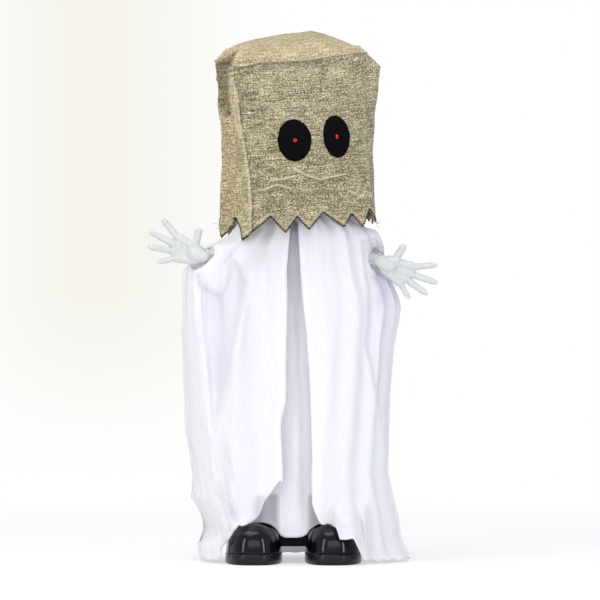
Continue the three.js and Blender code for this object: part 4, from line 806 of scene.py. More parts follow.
def sculpt_sack(grid):
    """Lays the seams, creases and slack of the cloth into the smooth surface."""
    out = outward(grid, True)
    across, down = frame_place(grid)
    facing = out[..., 1] < SEEN
    front = np.zeros(across.shape)
    for line, depth, width, _ in SACK_CREASES:
        front += depth * bump(line_distance(across, down, line), 0, width)
    for seam in (FRONT_TOP_SEAM, LEFT_SEAM, SIDE_TOP_SEAM):
        gap = line_distance(across, down, seam)
        front += 3.4 * bump(gap, 0, 1.3) - 2.4 * bump(gap, 0, 4.5)
    dent = depth_inside(across, down, SIDE_DENT)
    front -= 16 * smooth(dent, -1.0, 4.0) * smooth(SEEN - out[..., 1], 0, 0.25)
    front += 5 * bump(line_distance(across - 1, down, CORNER_RIDGE), 0, 2.2)
    x, y, z = grid[..., 0], grid[..., 1], grid[..., 2]
    around = np.arctan2(x, -y)
    slack = smooth(620 - z, -120, 20)
    push = np.where(facing, front, 0)
    push += slack * (2.2 * np.sin(9 * around + 0.01 * z) + 1.4 * np.sin(17 * around + 2.0))
    push += 1.2 * np.sin(0.045 * z + 5 * around) * np.sin(0.021 * z - 3 * around)
    push += np.where(facing, 0, 2.0 * np.sin(0.035 * z + 2.2 * np.sin(2 * around)))
    eyes = np.min([np.hypot((across - eye_x) / wide, (down - eye_y) / tall)
                   for eye_x, eye_y, wide, tall in EYE_SPOTS], axis=0)
    push *= np.where(facing, smooth(eyes, 0.95, 1.35), 1)
    return grid + out * push[..., None]


def sack_shade_and_stains(grid):
    """Darkening near the hem's cut edge; painted shade along the seams, under the front's creases, in the
    hollow behind the front-left corner and along its ridge; and the few stains of the front.
    """
    across, down = frame_place(grid)
    out_y = outward(grid, True)[..., 1]
    edge = 0.3 * bump(np.arange(len(grid))[:, None], 0, 0.7)
    # Painted shade beside the left seam's ridge
    front = 0.62 * bump(line_distance(across - 0.8, down, LEFT_SEAM), 0, 0.65)
    for line, _, _, wear_and_light in SACK_CREASES:
        shadow = bump(line_distance(across, down - 1.9, line), 0, 1.0)
        front = np.maximum(front, 0.38 * wear_and_light * smooth(wear_and_light, 0.2, 0.6) * shadow)
    # Painted shade just below the top seam
    front += 0.45 * bump(line_distance(across, down - 0.8, FRONT_TOP_SEAM), 0, 0.65)
    for stain_x, stain_y, width, strength in STAINS:
        front += strength * bump(np.hypot(across - stain_x, down - stain_y), 0, width)
    # Painted shade in the hollow behind the front-left corner and along its ridge
    dent = 0.48 * smooth(depth_inside(across, down, SIDE_DENT), -0.5, 2.5)
    dent += 0.3 * bump(line_distance(across + 1.5, down, CORNER_RIDGE[1:6]), 0, 1.6)
    return np.clip(edge + np.where(out_y < SEEN, front, 0) + np.where(out_y < 0.35, dent, 0), 0, 0.8)


def sack_wear_and_highlight(grid):
    """Pale lines along the front's creases, partly wear and partly painted highlight; painted highlights
    along the front-left corner's ridge and beside the left seam; the top painted lighter where it faces up,
    as painted light; and the folded band above the hem.
    """
    across, down = frame_place(grid)
    out = outward(grid, True)
    # Painted highlight along the corner's ridge and beside the left seam
    pale = 0.5 * bump(line_distance(across - 1, down, CORNER_RIDGE), 0, 1.1)
    pale = np.maximum(pale, 0.4 * bump(line_distance(across + 2.2, down, LEFT_SEAM), 0, 1.3))
    for line, _, width, wear_and_light in SACK_CREASES:
        pale = np.maximum(pale, wear_and_light * bump(line_distance(across, down, line), 0, width * 0.6))
    # The top painted lighter where it faces up: painted light
    top = 0.18 * smooth(out[..., 2], 0.35, 0.7) * (grid[..., 2] > SACK_SEAM - 20)
    band = 0.35 * bump(np.arange(len(grid))[:, None], 1.6, 0.9)
    return np.maximum(np.maximum(np.where(out[..., 1] < SEEN, pale, 0), band), top)


def sack_painted_warm_light(grid):
    """Painted warm light on the sack's sides, top and back, with the front's two seams as its borders."""
    across, down = frame_place(grid)
    out = outward(grid, True)
    front = -out[..., 1] * math.cos(YAW) + out[..., 0] * math.sin(YAW)
    seam_x, seam_y = np.array(LEFT_SEAM).T
    beside = smooth(np.interp(down, seam_y, seam_x) - across, -0.6, 1.0)
    above = smooth(np.interp(across, *np.array(FRONT_TOP_SEAM).T) - down, -0.6, 1.0)
    right = 1 - smooth(front, 0.35, 0.7)
    return np.where(out[..., 1] < SEEN, np.maximum(np.maximum(beside, above), right), 1)


def make_sack():
    smooth_form = fit_top(sack_grid())
    grid = sculpt_sack(smooth_form)
    # The marks: painted warm light, wear with painted highlights, and painted shade with stains
    marks = {"shade_and_stains": sack_shade_and_stains(grid), "painted_warm_light": sack_painted_warm_light(smooth_form), "wear_and_highlight": sack_wear_and_highlight(grid)}
    sack = cloth_piece("burlap_sack", grid, True, BURLAP, thick=1.2, marks=marks)
    close_top(sack)
    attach(sack, "head")
    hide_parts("sack")
    return sack, grid


def close_top(sack):
    """Closes the small ring at the top of the sack."""
    ring_above = (SACK_SEAM + 19) * MM
    with edited(sack.data) as work:
        edges = [e for e in work.edges if e.is_boundary and all(v.co.z > ring_above for v in e.verts)]
        bmesh.ops.holes_fill(work, edges=edges, sides=0)
    sack.data.shade_smooth()


sack, sack_surface = make_sack()


def make_head_stuffing():
    """The form under the sack, set back from it so that the cloth's creases clear it."""
    shares = np.arange(72) / 72
    share_of_sack, below_top = 0.76, 28
    rows = [sack_ring(shares, level, share_of_sack) for level in np.linspace(0.4, 1, 13)]
    for shrink in (0.95, 0.85, 0.7, 0.5, 0.3, 0.1):
        rows.append(sack_ring(shares, 1.0, share_of_sack * shrink, dome_lift(shares, shrink)))
    grid = fit_top(about_neck(np.array(rows), YAW))
    grid[..., 2] -= below_top
    rings = [ring * MM + NECK for ring in grid]
    form = ring_solid("head_form_shell", rings)
    keep_open_below(form)
    give_wall(form, thick=1.5)
    form.data.materials.append(SLOT_FINISHES["moulded_white"])
    form.data.shade_smooth()
    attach(form, "head")
    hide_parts("head_form")


def keep_open_below(form):
    """Takes away the fan at the lower end, whose middle is the lowest point with many edges."""
    with edited(form.data) as work:
        lowest = min(work.verts, key=lambda v: (len(v.link_edges) < 10, v.co.z))
        bmesh.ops.delete(work, geom=[lowest], context="VERTS")


make_head_stuffing()

# Eyes

EYE_APART, EYE_HEIGHT = 37.2, 724  # from the sack's middle and from the floor
EYE_HALF_WIDTHS, EYE_HALF_HEIGHT, EYE_LEAN = {-1: 28, 1: 25}, 36, 0.07


def make_eye_patch(side_name, side):
    middle_x = side * EYE_APART
    middle_z = EYE_HEIGHT + SACK_SLANT * middle_x
    shares = np.linspace(0.11, 1, 22)
    share, angle = np.meshgrid(shares, circle_angles(88), indexing="ij")
    ragged = 1 + 0.008 * np.sin(11 * angle + side) + 0.006 * np.sin(23 * angle)
    x = share * ragged * EYE_HALF_WIDTHS[side] * np.cos(angle)
    z = share * ragged * EYE_HALF_HEIGHT * np.sin(angle)
    lean = EYE_LEAN * max(side, 0)
    x, z = middle_x + x - lean * z, middle_z + z + lean * x
    lift = 2.4 - smooth(share, 0.9, 1.0)
    grid = about_neck(face_point(x, z, lift), YAW)
    patch = cloth_piece("eye_patch_" + side_name + "_felt", grid[::-1], True, FELT, thick=1.5)
    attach(patch, "head")
    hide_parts("eye_patch_" + side_name)
    return patch


patches = [make_eye_patch(side_name, side) for side_name, side in SIDES]


# Stitches along a line, made by Geometry Nodes


def stitch_tree(name, spacing, length, thick, tilt, finish):
    """A row of slanting stitches on a line of points, each a short bar."""
    tree = bpy.data.node_groups.new(name, "GeometryNodeTree")
    tree.interface.new_socket("Line", in_out="INPUT", socket_type="NodeSocketGeometry")
    for label, value in (("Spacing", spacing), ("Length", length), ("Thickness", thick), ("Tilt", tilt)):
        tree.interface.new_socket(label, in_out="INPUT", socket_type="NodeSocketFloat").default_value = value
    tree.interface.new_socket("Stitches", in_out="OUTPUT", socket_type="NodeSocketGeometry")

    def new(kind, inlets=(), **settings):
        return add_node(tree, kind, inlets, **settings).outputs[0]

    given = tree.nodes.new("NodeGroupInput").outputs
    curve = new("GeometryNodeMeshToCurve", {"Mesh": given["Line"]})
    spaced = new("GeometryNodeResampleCurve", {"Curve": curve, "Length": given["Spacing"]}, mode="LENGTH")
    facing = new("GeometryNodeInputNamedAttribute", {"Name": "facing"}, data_type="FLOAT_VECTOR")
    stand = new("FunctionNodeAlignRotationToVector", {"Vector": facing}, axis="Z")
    tangent = new("GeometryNodeInputTangent")
    along = new("FunctionNodeAlignRotationToVector", {"Rotation": stand, "Vector": tangent},
                axis="X", pivot_axis="Z")
    axis = new("ShaderNodeCombineXYZ", {"Z": given["Tilt"]})
    turn = new("FunctionNodeEulerToRotation", {"Euler": axis})
    lean = new("FunctionNodeRotateRotation", {"Rotation": along, "Rotate By": turn}, rotation_space="LOCAL")
    bar = new("GeometryNodeMeshCylinder", {"Vertices": 6, "Side Segments": 3,
                                           "Radius": given["Thickness"], "Depth": given["Length"]})
    laid = new("GeometryNodeTransform", {"Geometry": bar, "Rotation": (math.pi / 2, 0, 0)})
    many = new("GeometryNodeInstanceOnPoints", {"Points": spaced, "Instance": laid, "Rotation": lean})
    real = new("GeometryNodeRealizeInstances", {"Geometry": many})
    dyed = new("GeometryNodeSetMaterial", {"Geometry": real, "Material": finish})
    tree.links.new(dyed, tree.nodes.new("NodeGroupOutput").inputs["Stitches"])
    return tree


def stitched(name, points, facing, finish, spacing, length, thick, tilt, closed=False):
    """A plain mesh of stitches along points in millimetres, lying square to facing."""
    count = len(points)
    edges = [(i, i + 1) for i in range(count - 1)] + ([(count - 1, 0)] if closed else [])
    mesh = bpy.data.meshes.new(name)
    mesh.from_pydata((points * MM + NECK).tolist(), edges, [])
    layer = mesh.attributes.new("facing", "FLOAT_VECTOR", "POINT")
    layer.data.foreach_set("vector", np.asarray(facing, np.float32).ravel())
    line = add_object(name + "_line", mesh)
    tree = stitch_tree(name, spacing * MM, length * MM, thick * MM, tilt, finish)
    maker = line.modifiers.new("stitches", "NODES")
    maker.node_group = tree
    return settled(line, name, finish)


def make_hem_stitching():
    """Dark overlock stitches that wrap the zigzag edge of the sack."""
    out = outward(sack_surface, True)
    edge, above = sack_surface[0], sack_surface[2]
    line = edge * 0.85 + above * 0.15 + out[0] * 0.4
    wrap = stitched("hem_overlock", line, out[0], DARK_THREAD,
                    spacing=4.4, length=3.8, thick=1.05, tilt=0.9, closed=True)
    inner = edge * 0.3 + above * 0.7 + out[1] * 0.5
    chain = stitched("hem_chain", inner, out[1], BURLAP_THREAD,
                     spacing=2.6, length=2.0, thick=0.4, tilt=math.pi / 2 + 0.2, closed=True)
    for piece in (wrap, chain):
        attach(piece, "head")
    return [wrap, chain]


hem_stitches = make_hem_stitching()


def strand_mesh(name, paths, radius, finish):
    """Loose threads: each path is a list of points in millimetres, made a thin four-sided tube."""
    curve = bpy.data.curves.new(name, "CURVE")
    curve.dimensions = "3D"
    curve.bevel_depth = radius * MM
    curve.bevel_resolution = 0
    curve.use_fill_caps = True
    for path in paths:
        spline = curve.splines.new("POLY")
        spline.points.add(len(path) - 1)
        placed = np.asarray(path) * MM + NECK
        for point, place in zip(spline.points, placed):
            point.co = (*place, 1)
    return settled(add_object(name, curve), name, finish)


def make_frayed_strands():
    """Fibres that hang from the hem, and the two long ones at its sides."""
    out = outward(sack_surface, True)[0]
    edge = sack_surface[0]
    paths = []
    for column in chance.choice(SACK_COLUMNS, 120, replace=False):
        start, away = edge[column], out[column]
        length = chance.uniform(2.5, 5.5)
        lean = chance.normal(0, 0.5, 3)
        lean[2] = -abs(lean[2]) - 0.6
        lean /= np.linalg.norm(lean)
        t = np.linspace(0, 1, 4)[:, None]
        paths.append(start + away * 0.5 * t + lean * length * t + away * 2 * t * t)
    across, _ = frame_place(edge)
    left, right = edge[int(np.argmin(across))], edge[int(np.argmax(across))]
    t = np.linspace(0, 1, 7)[:, None]
    paths.append(left + np.array([-13, 7, -3]) * t + np.array([0, 0, 5]) * t * t)
    paths.append(left + np.array([-6, 6, -9]) * t)
    paths.append(right + np.array([9, 2, -6]) * t + np.array([0, 0, 7]) * t * t)
    paths.append(right + np.array([5, -3, -13]) * t)
    strands = strand_mesh("hem_strands", paths, radius=0.32, finish=BURLAP_THREAD)
    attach(strands, "head")
    return strands


hem_strands = make_frayed_strands()


def seam_points(line):
    """Points of the sack's surface under a line of the frame, with the surface's normals."""
    step = 3
    out = outward(sack_surface, True)
    across, down = frame_place(sack_surface)
    front = out[..., 1] < 0.15
    dense = []
    for (x0, y0), (x1, y1) in zip(line, line[1:]):
        pieces = max(1, int(math.hypot(x1 - x0, y1 - y0) / step))
        dense += [(x0 + (x1 - x0) * k / pieces, y0 + (y1 - y0) * k / pieces) for k in range(pieces)]
    dense.append(line[-1])
    points, normals = [], []
    for x, y in dense:
        gap = np.where(front, np.hypot(across - x, down - y), 1e9)
        i, j = np.unravel_index(int(np.argmin(gap)), gap.shape)
        points.append(sack_surface[i, j] + out[i, j] * 0.4)
        normals.append(out[i, j])
    return np.array(points), np.array(normals)


def make_seam_stitching():
    pieces = []
    for name, line in (("top_seam_stitches", FRONT_TOP_SEAM), ("side_seam_stitches", LEFT_SEAM)):
        points, normals = seam_points(line)
        piece = stitched(name, points, normals, DARK_THREAD,
                         spacing=3.4, length=2.6, thick=0.34, tilt=math.pi / 2 + 0.1)
        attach(piece, "head")
        pieces.append(piece)
    return pieces


seam_stitches = make_seam_stitching()

# Robe and gown

CLOTH_ROUNDNESS = 2.5
HEAD_TURNS = (0, 6, -8, -16, -24, -31, -38)  # degrees from rest that the robe clears
STANCE = 68  # from the figure's middle to a boot's
FRONT_HALF = 8  # the cloth that stands before this depth is the front
HANG_FROM = 440  # below this height the rows come down to the hem
ROBE_LOW, ROBE_TOP = 4, 613
GOWN_LOW, GOWN_TOP, GOWN_BACK_HEM = 60, 581, 80
HEM_REACH_RIGHT, HEM_REACH_LEFT = 150, 181  # how far to each side the robe's hem table is read
VOILE_THICK = 0.7
# The cloth puffs up inside the sack, to ROBE_TOP, and comes down again to the neckband
ROBE_WIDTHS_RIGHT = [[4, 158], [27, 163], [37, 155], [50, 149], [64, 147], [88, 157], [110, 174], [139, 168],
                     [175, 173], [218, 180], [305, 184], [390, 190], [500, 190], [510, 180], [524, 162],
                     [534, 156], [541, 150], [548, 140], [556, 127], [565, 114], [576, 107], [590, 103],
                     [600, 96], [609, 82], [613, 64]]
ROBE_WIDTHS_LEFT = [[4, 188], [32, 184], [74, 179], [110, 170], [153, 161], [218, 164], [283, 166],
                    [326, 170], [370, 173], [413, 182], [438, 185], [456, 181], [486, 168], [524, 157],
                    [541, 155], [553, 151], [563, 147], [573, 137], [580, 125], [586, 114], [592, 107],
                    [600, 98], [609, 82], [613, 64]]
ROBE_FRONTS = [[4, 104], [100, 98], [300, 92], [500, 90], [553, 88], [580, 85], [600, 78],
               [609, 66], [613, 52]]
ROBE_BACKS = [[4, 138], [100, 134], [300, 130], [440, 128], [500, 106], [533, 94], [553, 86],
              [580, 82], [600, 76], [609, 66], [613, 52]]
COLLAR_RINGS = [(610, 50), (600, 42), (588, 38.5), (581, 37.5)]  # height and radius, down to the band
GOWN_WIDTHS = [[60, 124], [120, 123], [250, 114], [440, 102], [500, 94], [552, 90], [568, 86],
               [577, 62], [581, 40.5]]
GOWN_FRONTS = [[60, 78], [120, 74], [250, 70], [440, 68], [500, 66], [552, 62], [568, 58],
               [577, 48], [581, 40.5]]
GOWN_BACKS = [[60, 106], [120, 108], [250, 113], [440, 116], [500, 88], [552, 62], [568, 58],
              [577, 48], [581, 40.5]]
# The front hem's height by distance from the figure's middle
ROBE_HEM = [[-152, 4], [-117, 6], [-112, 20], [-108, 45], [-102, 60], [-85, 67], [-62, 76], [-40, 110],
            [-20, 143], [30, 112], [38, 86], [46, 70], [53, 67], [73, 66], [76, 58], [78, 45], [98, 44],
            [112, 8], [150, 4]]
GOWN_HEM = [[-112, 78], [-92, 70], [-68, 70], [-50, 69], [-40, 66], [-32, 61], [-26, 55], [-20, 46],
            [11, 44], [20, 46], [26, 55], [32, 61], [40, 66], [50, 69], [68, 70], [92, 70], [112, 78]]
OPENING_RIGHT = [[4, -20], [143, -19], [210, -11], [500, -10], [588, -7], [613, -4]]
OPENING_LEFT = [[4, 34], [112, 33], [150, 30], [252, 28], [380, 21.5], [500, 12], [588, 7], [613, 4]]

# The mouth of the wide right sleeve, which hangs in a U, and the left one, in the photograph's frame
RIGHT_MOUTH = [(196, 276), (199, 300), (203, 335), (206.5, 370), (210, 410), (213, 431), (216, 431),
               (221.5, 405), (229, 376), (236, 340), (242, 308), (246, 286), (243, 268), (232, 255),
               (212, 262)]
RIGHT_POUCH = [(192, 268), (198.5, 283), (208, 291), (219, 295), (226, 287), (229, 275), (226, 263),
               (219, 255), (205, 256)]
LEFT_MOUTH = [(361, 240), (363.6, 271), (367, 291), (367, 324), (364, 343), (370, 368), (380, 420),
              (389.6, 476), (397, 420), (402, 309), (398, 280), (392, 262), (384, 246), (376, 236)]
ARM_SHADOW = [(374, 250), (379, 262), (378, 276), (384, 290), (380, 300)]  # the arm, seen through the cloth
WRISTS = {-1: (-154, -44, 523), 1: (150, -44, 515)}  # by the sign of their side
CUFF_BANDS = {-1: 0.5, 1: 0.0}  # how much denser each cuff's cloth is gathered
SLEEVE_EDGE = [(229, 251), (238, 264), (245, 280)]
WRIST_FOLD = [(268, 233), (268.5, 283)]
# Spans down the frame over which parts of the sleeves come in or go out
BELOW_WRIST, HOLLOW_FADES, SLEEVE_SHADED = (256, 276), (370, 430), (250, 285)
EDGE_ROLLS, CLOTH_BUNCHES = (262, 300), (300, 430)
# The slanting lines under the sleeve: a point that one passes, where they come in, and where they end across
SWAG_LINE, SWAG_BEGINS, SWAG_ENDS = (213, 440), (440, 470), (228, 250)
# Spans across the frame where the hem stands out over the left boot and beside the right one
OVER_BOOT, BESIDE_BOOT = ((328, 336), (362, 374)), ((220, 228), (246, 252))


def within(value, spans):
    """1 between two spans, eased in over the first and out over the second."""
    return smooth(value, *spans[0]) * (1 - smooth(value, *spans[1]))


def rounded_value(value):
    return np.sign(value) * np.abs(value) ** (2 / CLOTH_ROUNDNESS)


def garment_points(theta, z, widths, fronts, backs, out):
    side = np.where(np.sin(theta) < 0, straight(widths[0], z), straight(widths[1], z))
    depth = np.where(np.cos(theta) > 0, straight(fronts, z), straight(backs, z))
    x = (side + out) * rounded_value(np.sin(theta))
    y = -(depth + out) * rounded_value(np.cos(theta))
    return np.stack([x, y, z], axis=-1)


def hung_heights(levels, low, hem):
    """Brings the levels below HANG_FROM down to the hem's own height."""
    level = levels[:, None]
    hung = hem + (level - low) * (HANG_FROM - hem) / (HANG_FROM - low)
    return np.where(level >= HANG_FROM, level, hung)


# Folds of the robe: where each lies round the body in turns of a circle, its depth and its width
FRONT_FOLDS = [(0.035, 5.0, 0.010), (0.058, -4.0, 0.009), (0.082, 6.0, 0.012), (0.108, -6.0, 0.012),
               (0.135, 7.0, 0.014), (0.163, -5.0, 0.013), (-0.030, 4.0, 0.010), (-0.056, -6.0, 0.010),
               (-0.078, 6.0, 0.012), (-0.104, -4.0, 0.012), (-0.128, 5.0, 0.014)]


def turn_from_front(theta):
    """Turns of a circle from the front's middle, below zero on the figure's right."""
    return np.where(theta > math.pi, theta / math.tau - 1, theta / math.tau)


def robe_folds(theta, z):
    """How far the cloth stands out of its smooth surface: folds that fan out from the neck."""
    turn = turn_from_front(theta)
    free = smooth(560 - z, 0, 240)
    near_neck = smooth(612 - z, 0, 20) * (1 - free)
    sway = 0.006 * np.sin(z / 70) * free
    push = np.zeros(theta.shape)
    for middle, depth, width in FRONT_FOLDS:
        grown = width * (0.75 + 0.5 * free)
        push += depth * (0.5 * near_neck + 0.75 * free) * bump(turn + sway, middle, grown)
    back = smooth(np.abs(turn), 0.2, 0.27)
    count = 34 + 2 * np.sin(4 * turn * math.tau)
    waves = np.cos(math.tau * turn * 17 + 1.3 * np.sin(z / 160))
    waves += 0.55 * np.cos(math.tau * turn * 29 + 1.1 + z / 210)
    waves += 0.3 * np.cos(math.tau * turn * 47 + 0.4)
    push += back * waves * (4.6 * free + 1.2 * near_neck)
    push += 0.7 * np.sin(z / 19 + 9 * turn * math.tau) * np.sin(z / 47) * free
    push += near_neck * 1.5 * np.cos(math.tau * turn * count)
    return push


def fold_shade(theta, z):
    """The lavender tone in the valleys of the front's folds and where the sack's hem shades them."""
    turn = turn_from_front(theta)
    shade = 0.16 * smooth(z, 530, 590) * (np.cos(theta) > 0)
    for middle, depth, width in FRONT_FOLDS:
        if depth < 0:
            shade = shade + 0.20 * bump(turn, middle, width * 0.9) * (1 - 0.5 * smooth(500 - z, 0, 400))
    return shade


def tuck_under_sack(grid):
    """Draws the robe in where it would stand through the sack's wall at any turn of the head,
    easing off below the hem."""
    hem_rows, reaches_above, clearance = 24, 540, 5
    wall = sack_surface[:hem_rows].reshape(-1, 3)
    facing = outward(sack_surface, True)[:hem_rows].reshape(-1, 3)
    tree = KDTree(len(wall))
    for index, point in enumerate(wall):
        tree.insert(point, index)
    tree.balance()
    spots = np.argwhere(grid[..., 2] > reaches_above)
    for turn in HEAD_TURNS:
        turned = about_neck(grid, math.radians(-turn))
        for row, column in spots:
            point = turned[row, column]
            index = tree.find(point)[1]
            outside = (point - wall[index]) @ facing[index] + clearance
            if outside > 0:
                share = smooth(point[2] - wall[index][2], -10, -1)
                turned[row, column, :2] -= facing[index, :2] * outside * share
        grid = about_neck(turned, math.radians(turn))
    return grid


def robe_sleeves(grid):
    """The U of the right sleeve's mouth with its rolled edge, the pouch under the wrist, and the
    left sleeve's shallower hollow. Gives the push forwards and the shade of the cloth."""
    across, down = frame_place(grid)
    front = grid[..., 1] < FRONT_HALF
    mouth = depth_inside(across, down, RIGHT_MOUTH)
    pouch = depth_inside(across, down, RIGHT_POUCH)
    left = depth_inside(across, down, LEFT_MOUTH)
    edge = bump(line_distance(across, down, SLEEVE_EDGE), 0, 1.5)
    below_wrist = smooth(down, *BELOW_WRIST)
    hollow = smooth(mouth, -0.5, 3.5) * (1 - 0.6 * smooth(down, *HOLLOW_FADES))
    rolled = bump(mouth, -4.5, 4.0) * smooth(down, *EDGE_ROLLS)
    under = bump(mouth, -11, 7.0) * smooth(down, *CLOTH_BUNCHES)
    push = -13 * hollow * below_wrist + 5 * rolled + 3 * under
    push += (5 * smooth(pouch, -3, 8) + 9 * smooth(pouch, -2, 4) * hollow) * below_wrist
    lines = np.sin(0.9 * (across - SWAG_LINE[0]) - 0.16 * (down - SWAG_LINE[1]))
    lines *= smooth(down, *SWAG_BEGINS) * (1 - smooth(across, *SWAG_ENDS)) * smooth(-mouth, 4, 14)
    push += 1.8 * lines + 4 * edge - 9 * smooth(left, -0.5, 3)
    push += 38 * within(across, OVER_BOOT) * smooth(118 - grid[..., 2], 0, 46)
    push += 20 * within(across, BESIDE_BOOT) * smooth(84 - grid[..., 2], 0, 24)
    shade = 0.26 * hollow * (1 - 0.8 * smooth(pouch, -1.5, 1.5)) * smooth(down, *SLEEVE_SHADED)
    shade += 0.14 * bump(pouch, -0.6, 1.4) * hollow
    shade += 0.45 * bump(line_distance(across, down, ARM_SHADOW[2:]), 0, 7)
    shade += 0.20 * smooth(left, -0.5, 2.0)
    shade += 0.22 * bump(line_distance(across, down, WRIST_FOLD), 0, 1.3)
    return np.where(front, push, 0), np.where(front, np.clip(shade, 0, 1), 0)


def with_collar(grid, shade, theta):
    """Adds the rings that turn in at the top and go down to the neckband."""
    rings = []
    for height, radius in COLLAR_RINGS:
        r = radius + 1.2 * np.cos(34 * theta)
        rings.append(np.stack([r * np.sin(theta), -r * np.cos(theta), np.full_like(theta, height)], axis=1))
    return np.concatenate([grid, rings]), np.concatenate([shade, np.zeros((len(rings), len(theta)))])


def garment_levels(low, top, low_rows, high_rows):
    """Heights of a garment's rows: those that come down to the hem, and those above them."""
    hanging = np.linspace(low, HANG_FROM, low_rows)
    return np.concatenate([hanging[:-1], np.linspace(HANG_FROM, top, high_rows)])


def edge_angles(opening, levels):
    """Where an edge of the robe's front opening lies round the body at each level."""
    share = straight(opening, levels) / straight(ROBE_WIDTHS_LEFT, levels)
    return np.arcsin(np.sign(share) * np.abs(share) ** (CLOTH_ROUNDNESS / 2))


def make_robe():
    """The outer robe, from the left edge of its front opening round the back to the right edge."""
    columns = 300
    levels = garment_levels(ROBE_LOW, ROBE_TOP, low_rows=100, high_rows=46)
    start, end = edge_angles(OPENING_LEFT, levels), math.tau + edge_angles(OPENING_RIGHT, levels)
    across = np.linspace(0, 1, columns)
    theta = start[:, None] + (end - start)[:, None] * across[None, :]
    reach = np.where(np.sin(theta) < 0, HEM_REACH_RIGHT, HEM_REACH_LEFT) * rounded_value(np.sin(theta))
    ripple = 1.5 * np.sin(31 * theta) + np.sin(53 * theta + 1)
    back_hem = ROBE_LOW + np.abs(ripple) + 34 * smooth(-np.sin(theta), 0.3, 0.6)
    hem = np.where(np.cos(theta) > 0, straight(ROBE_HEM, reach) + ripple, back_hem)
    z = hung_heights(levels, ROBE_LOW, hem)
    widths = (ROBE_WIDTHS_RIGHT, ROBE_WIDTHS_LEFT)
    grid = garment_points(theta, z, widths, ROBE_FRONTS, ROBE_BACKS, robe_folds(theta, z))
    right_back = (grid[..., 0] < 0) * smooth(grid[..., 1], FRONT_HALF, 55)
    grid[..., 0] -= 15 * right_back * bump(z, 560, 13)
    out = outward(grid, False)
    push, shade = robe_sleeves(grid)
    shade = np.clip(shade + fold_shade(theta, z), 0, 1)
    grid[..., 0] += out[..., 0] * 0.15 * push
    grid[..., 1] += np.minimum(out[..., 1], -0.2) * push
    grid = tuck_under_sack(grid)
    trail = smooth(40 - grid[..., 2], 0, 36) * np.maximum(0, np.sin(theta)) ** 6
    grid[..., 0] += 10 * trail
    grid, shade = with_collar(grid, shade, theta[-1])
    rows = np.arange(len(grid))[:, None]
    sides = np.minimum(across, 1 - across)[None, :] * columns
    band = np.maximum(bump(sides, 0, 1.6), bump(rows, 0, 1.8))
    kept = clear_of_arms((grid[:-1, :-1] + grid[1:, 1:]) / 2, radius=15, start=60, flares=(4, 8))
    seen_x, seen_y = frame_place(grid)
    front = grid[..., 1] < FRONT_HALF
    thin = smooth(grid[..., 0], -72, -58) * (grid[..., 0] < 0) * (1 - smooth(grid[..., 2], 110, 125)) * 0.8
    thin += 0.7 * bump(line_distance(seen_x, seen_y, ARM_SHADOW[:3]), 0, 6)
    thin = np.where(front, np.clip(thin, 0, 1.5), 0)
    robe = cloth_piece("robe_cape", grid, False, VOILE, VOILE_THICK, kept,
                       marks={"shade": shade, "band": band * 0.6, "thin": thin})
    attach(robe, "frame")
    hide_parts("robe")
    return robe


def arm_ends(side):
    """The shoulder and the wrist of an arm, in millimetres."""
    shoulder = np.array([side * 70.3, 0, 537.0])
    wrist = np.array(WRISTS[side], float)
    return shoulder, wrist


def clear_of_arms(middles, radius, start, flares=(0, 0)):
    """Which cells are kept, by their middles: those outside the holes for the right and the left arm,
    which begin at start along the arm and widen by the flares towards the wrist."""
    kept = np.ones(middles.shape[:2], bool)
    for (_, side), flare in zip(SIDES, flares):
        shoulder, wrist = arm_ends(side)
        along = unit(wrist - shoulder)
        place = (middles - shoulder) @ along
        gap = np.linalg.norm(middles - shoulder - place[..., None] * along, axis=2)
        kept &= ~((gap < radius + flare * smooth(place, 68, 82)) & (place > start))
    return kept


robe = make_robe()


def make_gown():
    """The closed gown inside the robe, with its hem round the toes and holes for the arms."""
    levels = garment_levels(GOWN_LOW, GOWN_TOP, low_rows=84, high_rows=26)
    theta = np.tile(circle_angles(168), (len(levels), 1))
    reach = straight(GOWN_WIDTHS, GOWN_BACK_HEM) * rounded_value(np.sin(theta))
    ripple = 0.6 * np.sin(17 * theta) + 0.4 * np.sin(29 * theta)
    hem = np.where(np.cos(theta) > 0, straight(GOWN_HEM, reach), GOWN_BACK_HEM) + ripple
    z = hung_heights(levels, GOWN_LOW, hem)
    free = smooth(560 - z, 0, 260)
    out = free * (2.6 * np.cos(9 * theta) + 1.6 * np.cos(19 * theta + z / 140) + 0.8 * np.cos(37 * theta))
    out += 0.8 * (1 - free) * np.cos(40 * theta)
    grid = garment_points(theta, z, (GOWN_WIDTHS, GOWN_WIDTHS), GOWN_FRONTS, GOWN_BACKS, out)
    kept = clear_of_arms((grid[:-1] + grid[1:]) / 2, radius=17, start=0)
    shade = 0.10 + 0.05 * np.cos(2 * theta)
    band = np.broadcast_to(0.6 * bump(np.arange(len(levels))[:, None], 0, 1.8), theta.shape)
    before_shaft = smooth(42 - np.abs(np.abs(grid[..., 0]) - STANCE), -3, 3) * (grid[..., 1] < 0)
    thin = np.maximum(smooth(z, 543, 550) * 0.10, before_shaft * (1 - smooth(z, 114, 122)) * 0.95)
    gown = cloth_piece("inner_gown_cloth", grid, True, GOWN_VOILE, VOILE_THICK, kept,
                       marks={"shade": shade, "band": band, "thin": thin})
    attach(gown, "frame")
    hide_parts("inner_gown")
    return gown


gown = make_gown()


def make_neckband():
    """The gathered band that carries the robe and the gown."""
    low, height = 573, 9
    t, turn = np.meshgrid(np.linspace(0, 1, 9), circle_angles(200), indexing="ij")
    r = 35.0 + np.cos(38 * turn) * (1 - 0.5 * t) + 1.2 * np.sin(math.pi * t)
    grid = np.stack([r * np.sin(turn), -r * np.cos(turn), low + height * t], axis=-1)
    band = cloth_piece("neckband_cloth", grid, True, VOILE, thick=1.6,
                       marks={"shade": np.zeros(grid.shape[:2]), "band": np.ones(grid.shape[:2])})
    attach(band, "frame")
    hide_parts("neckband")
    return band


neckband = make_neckband()


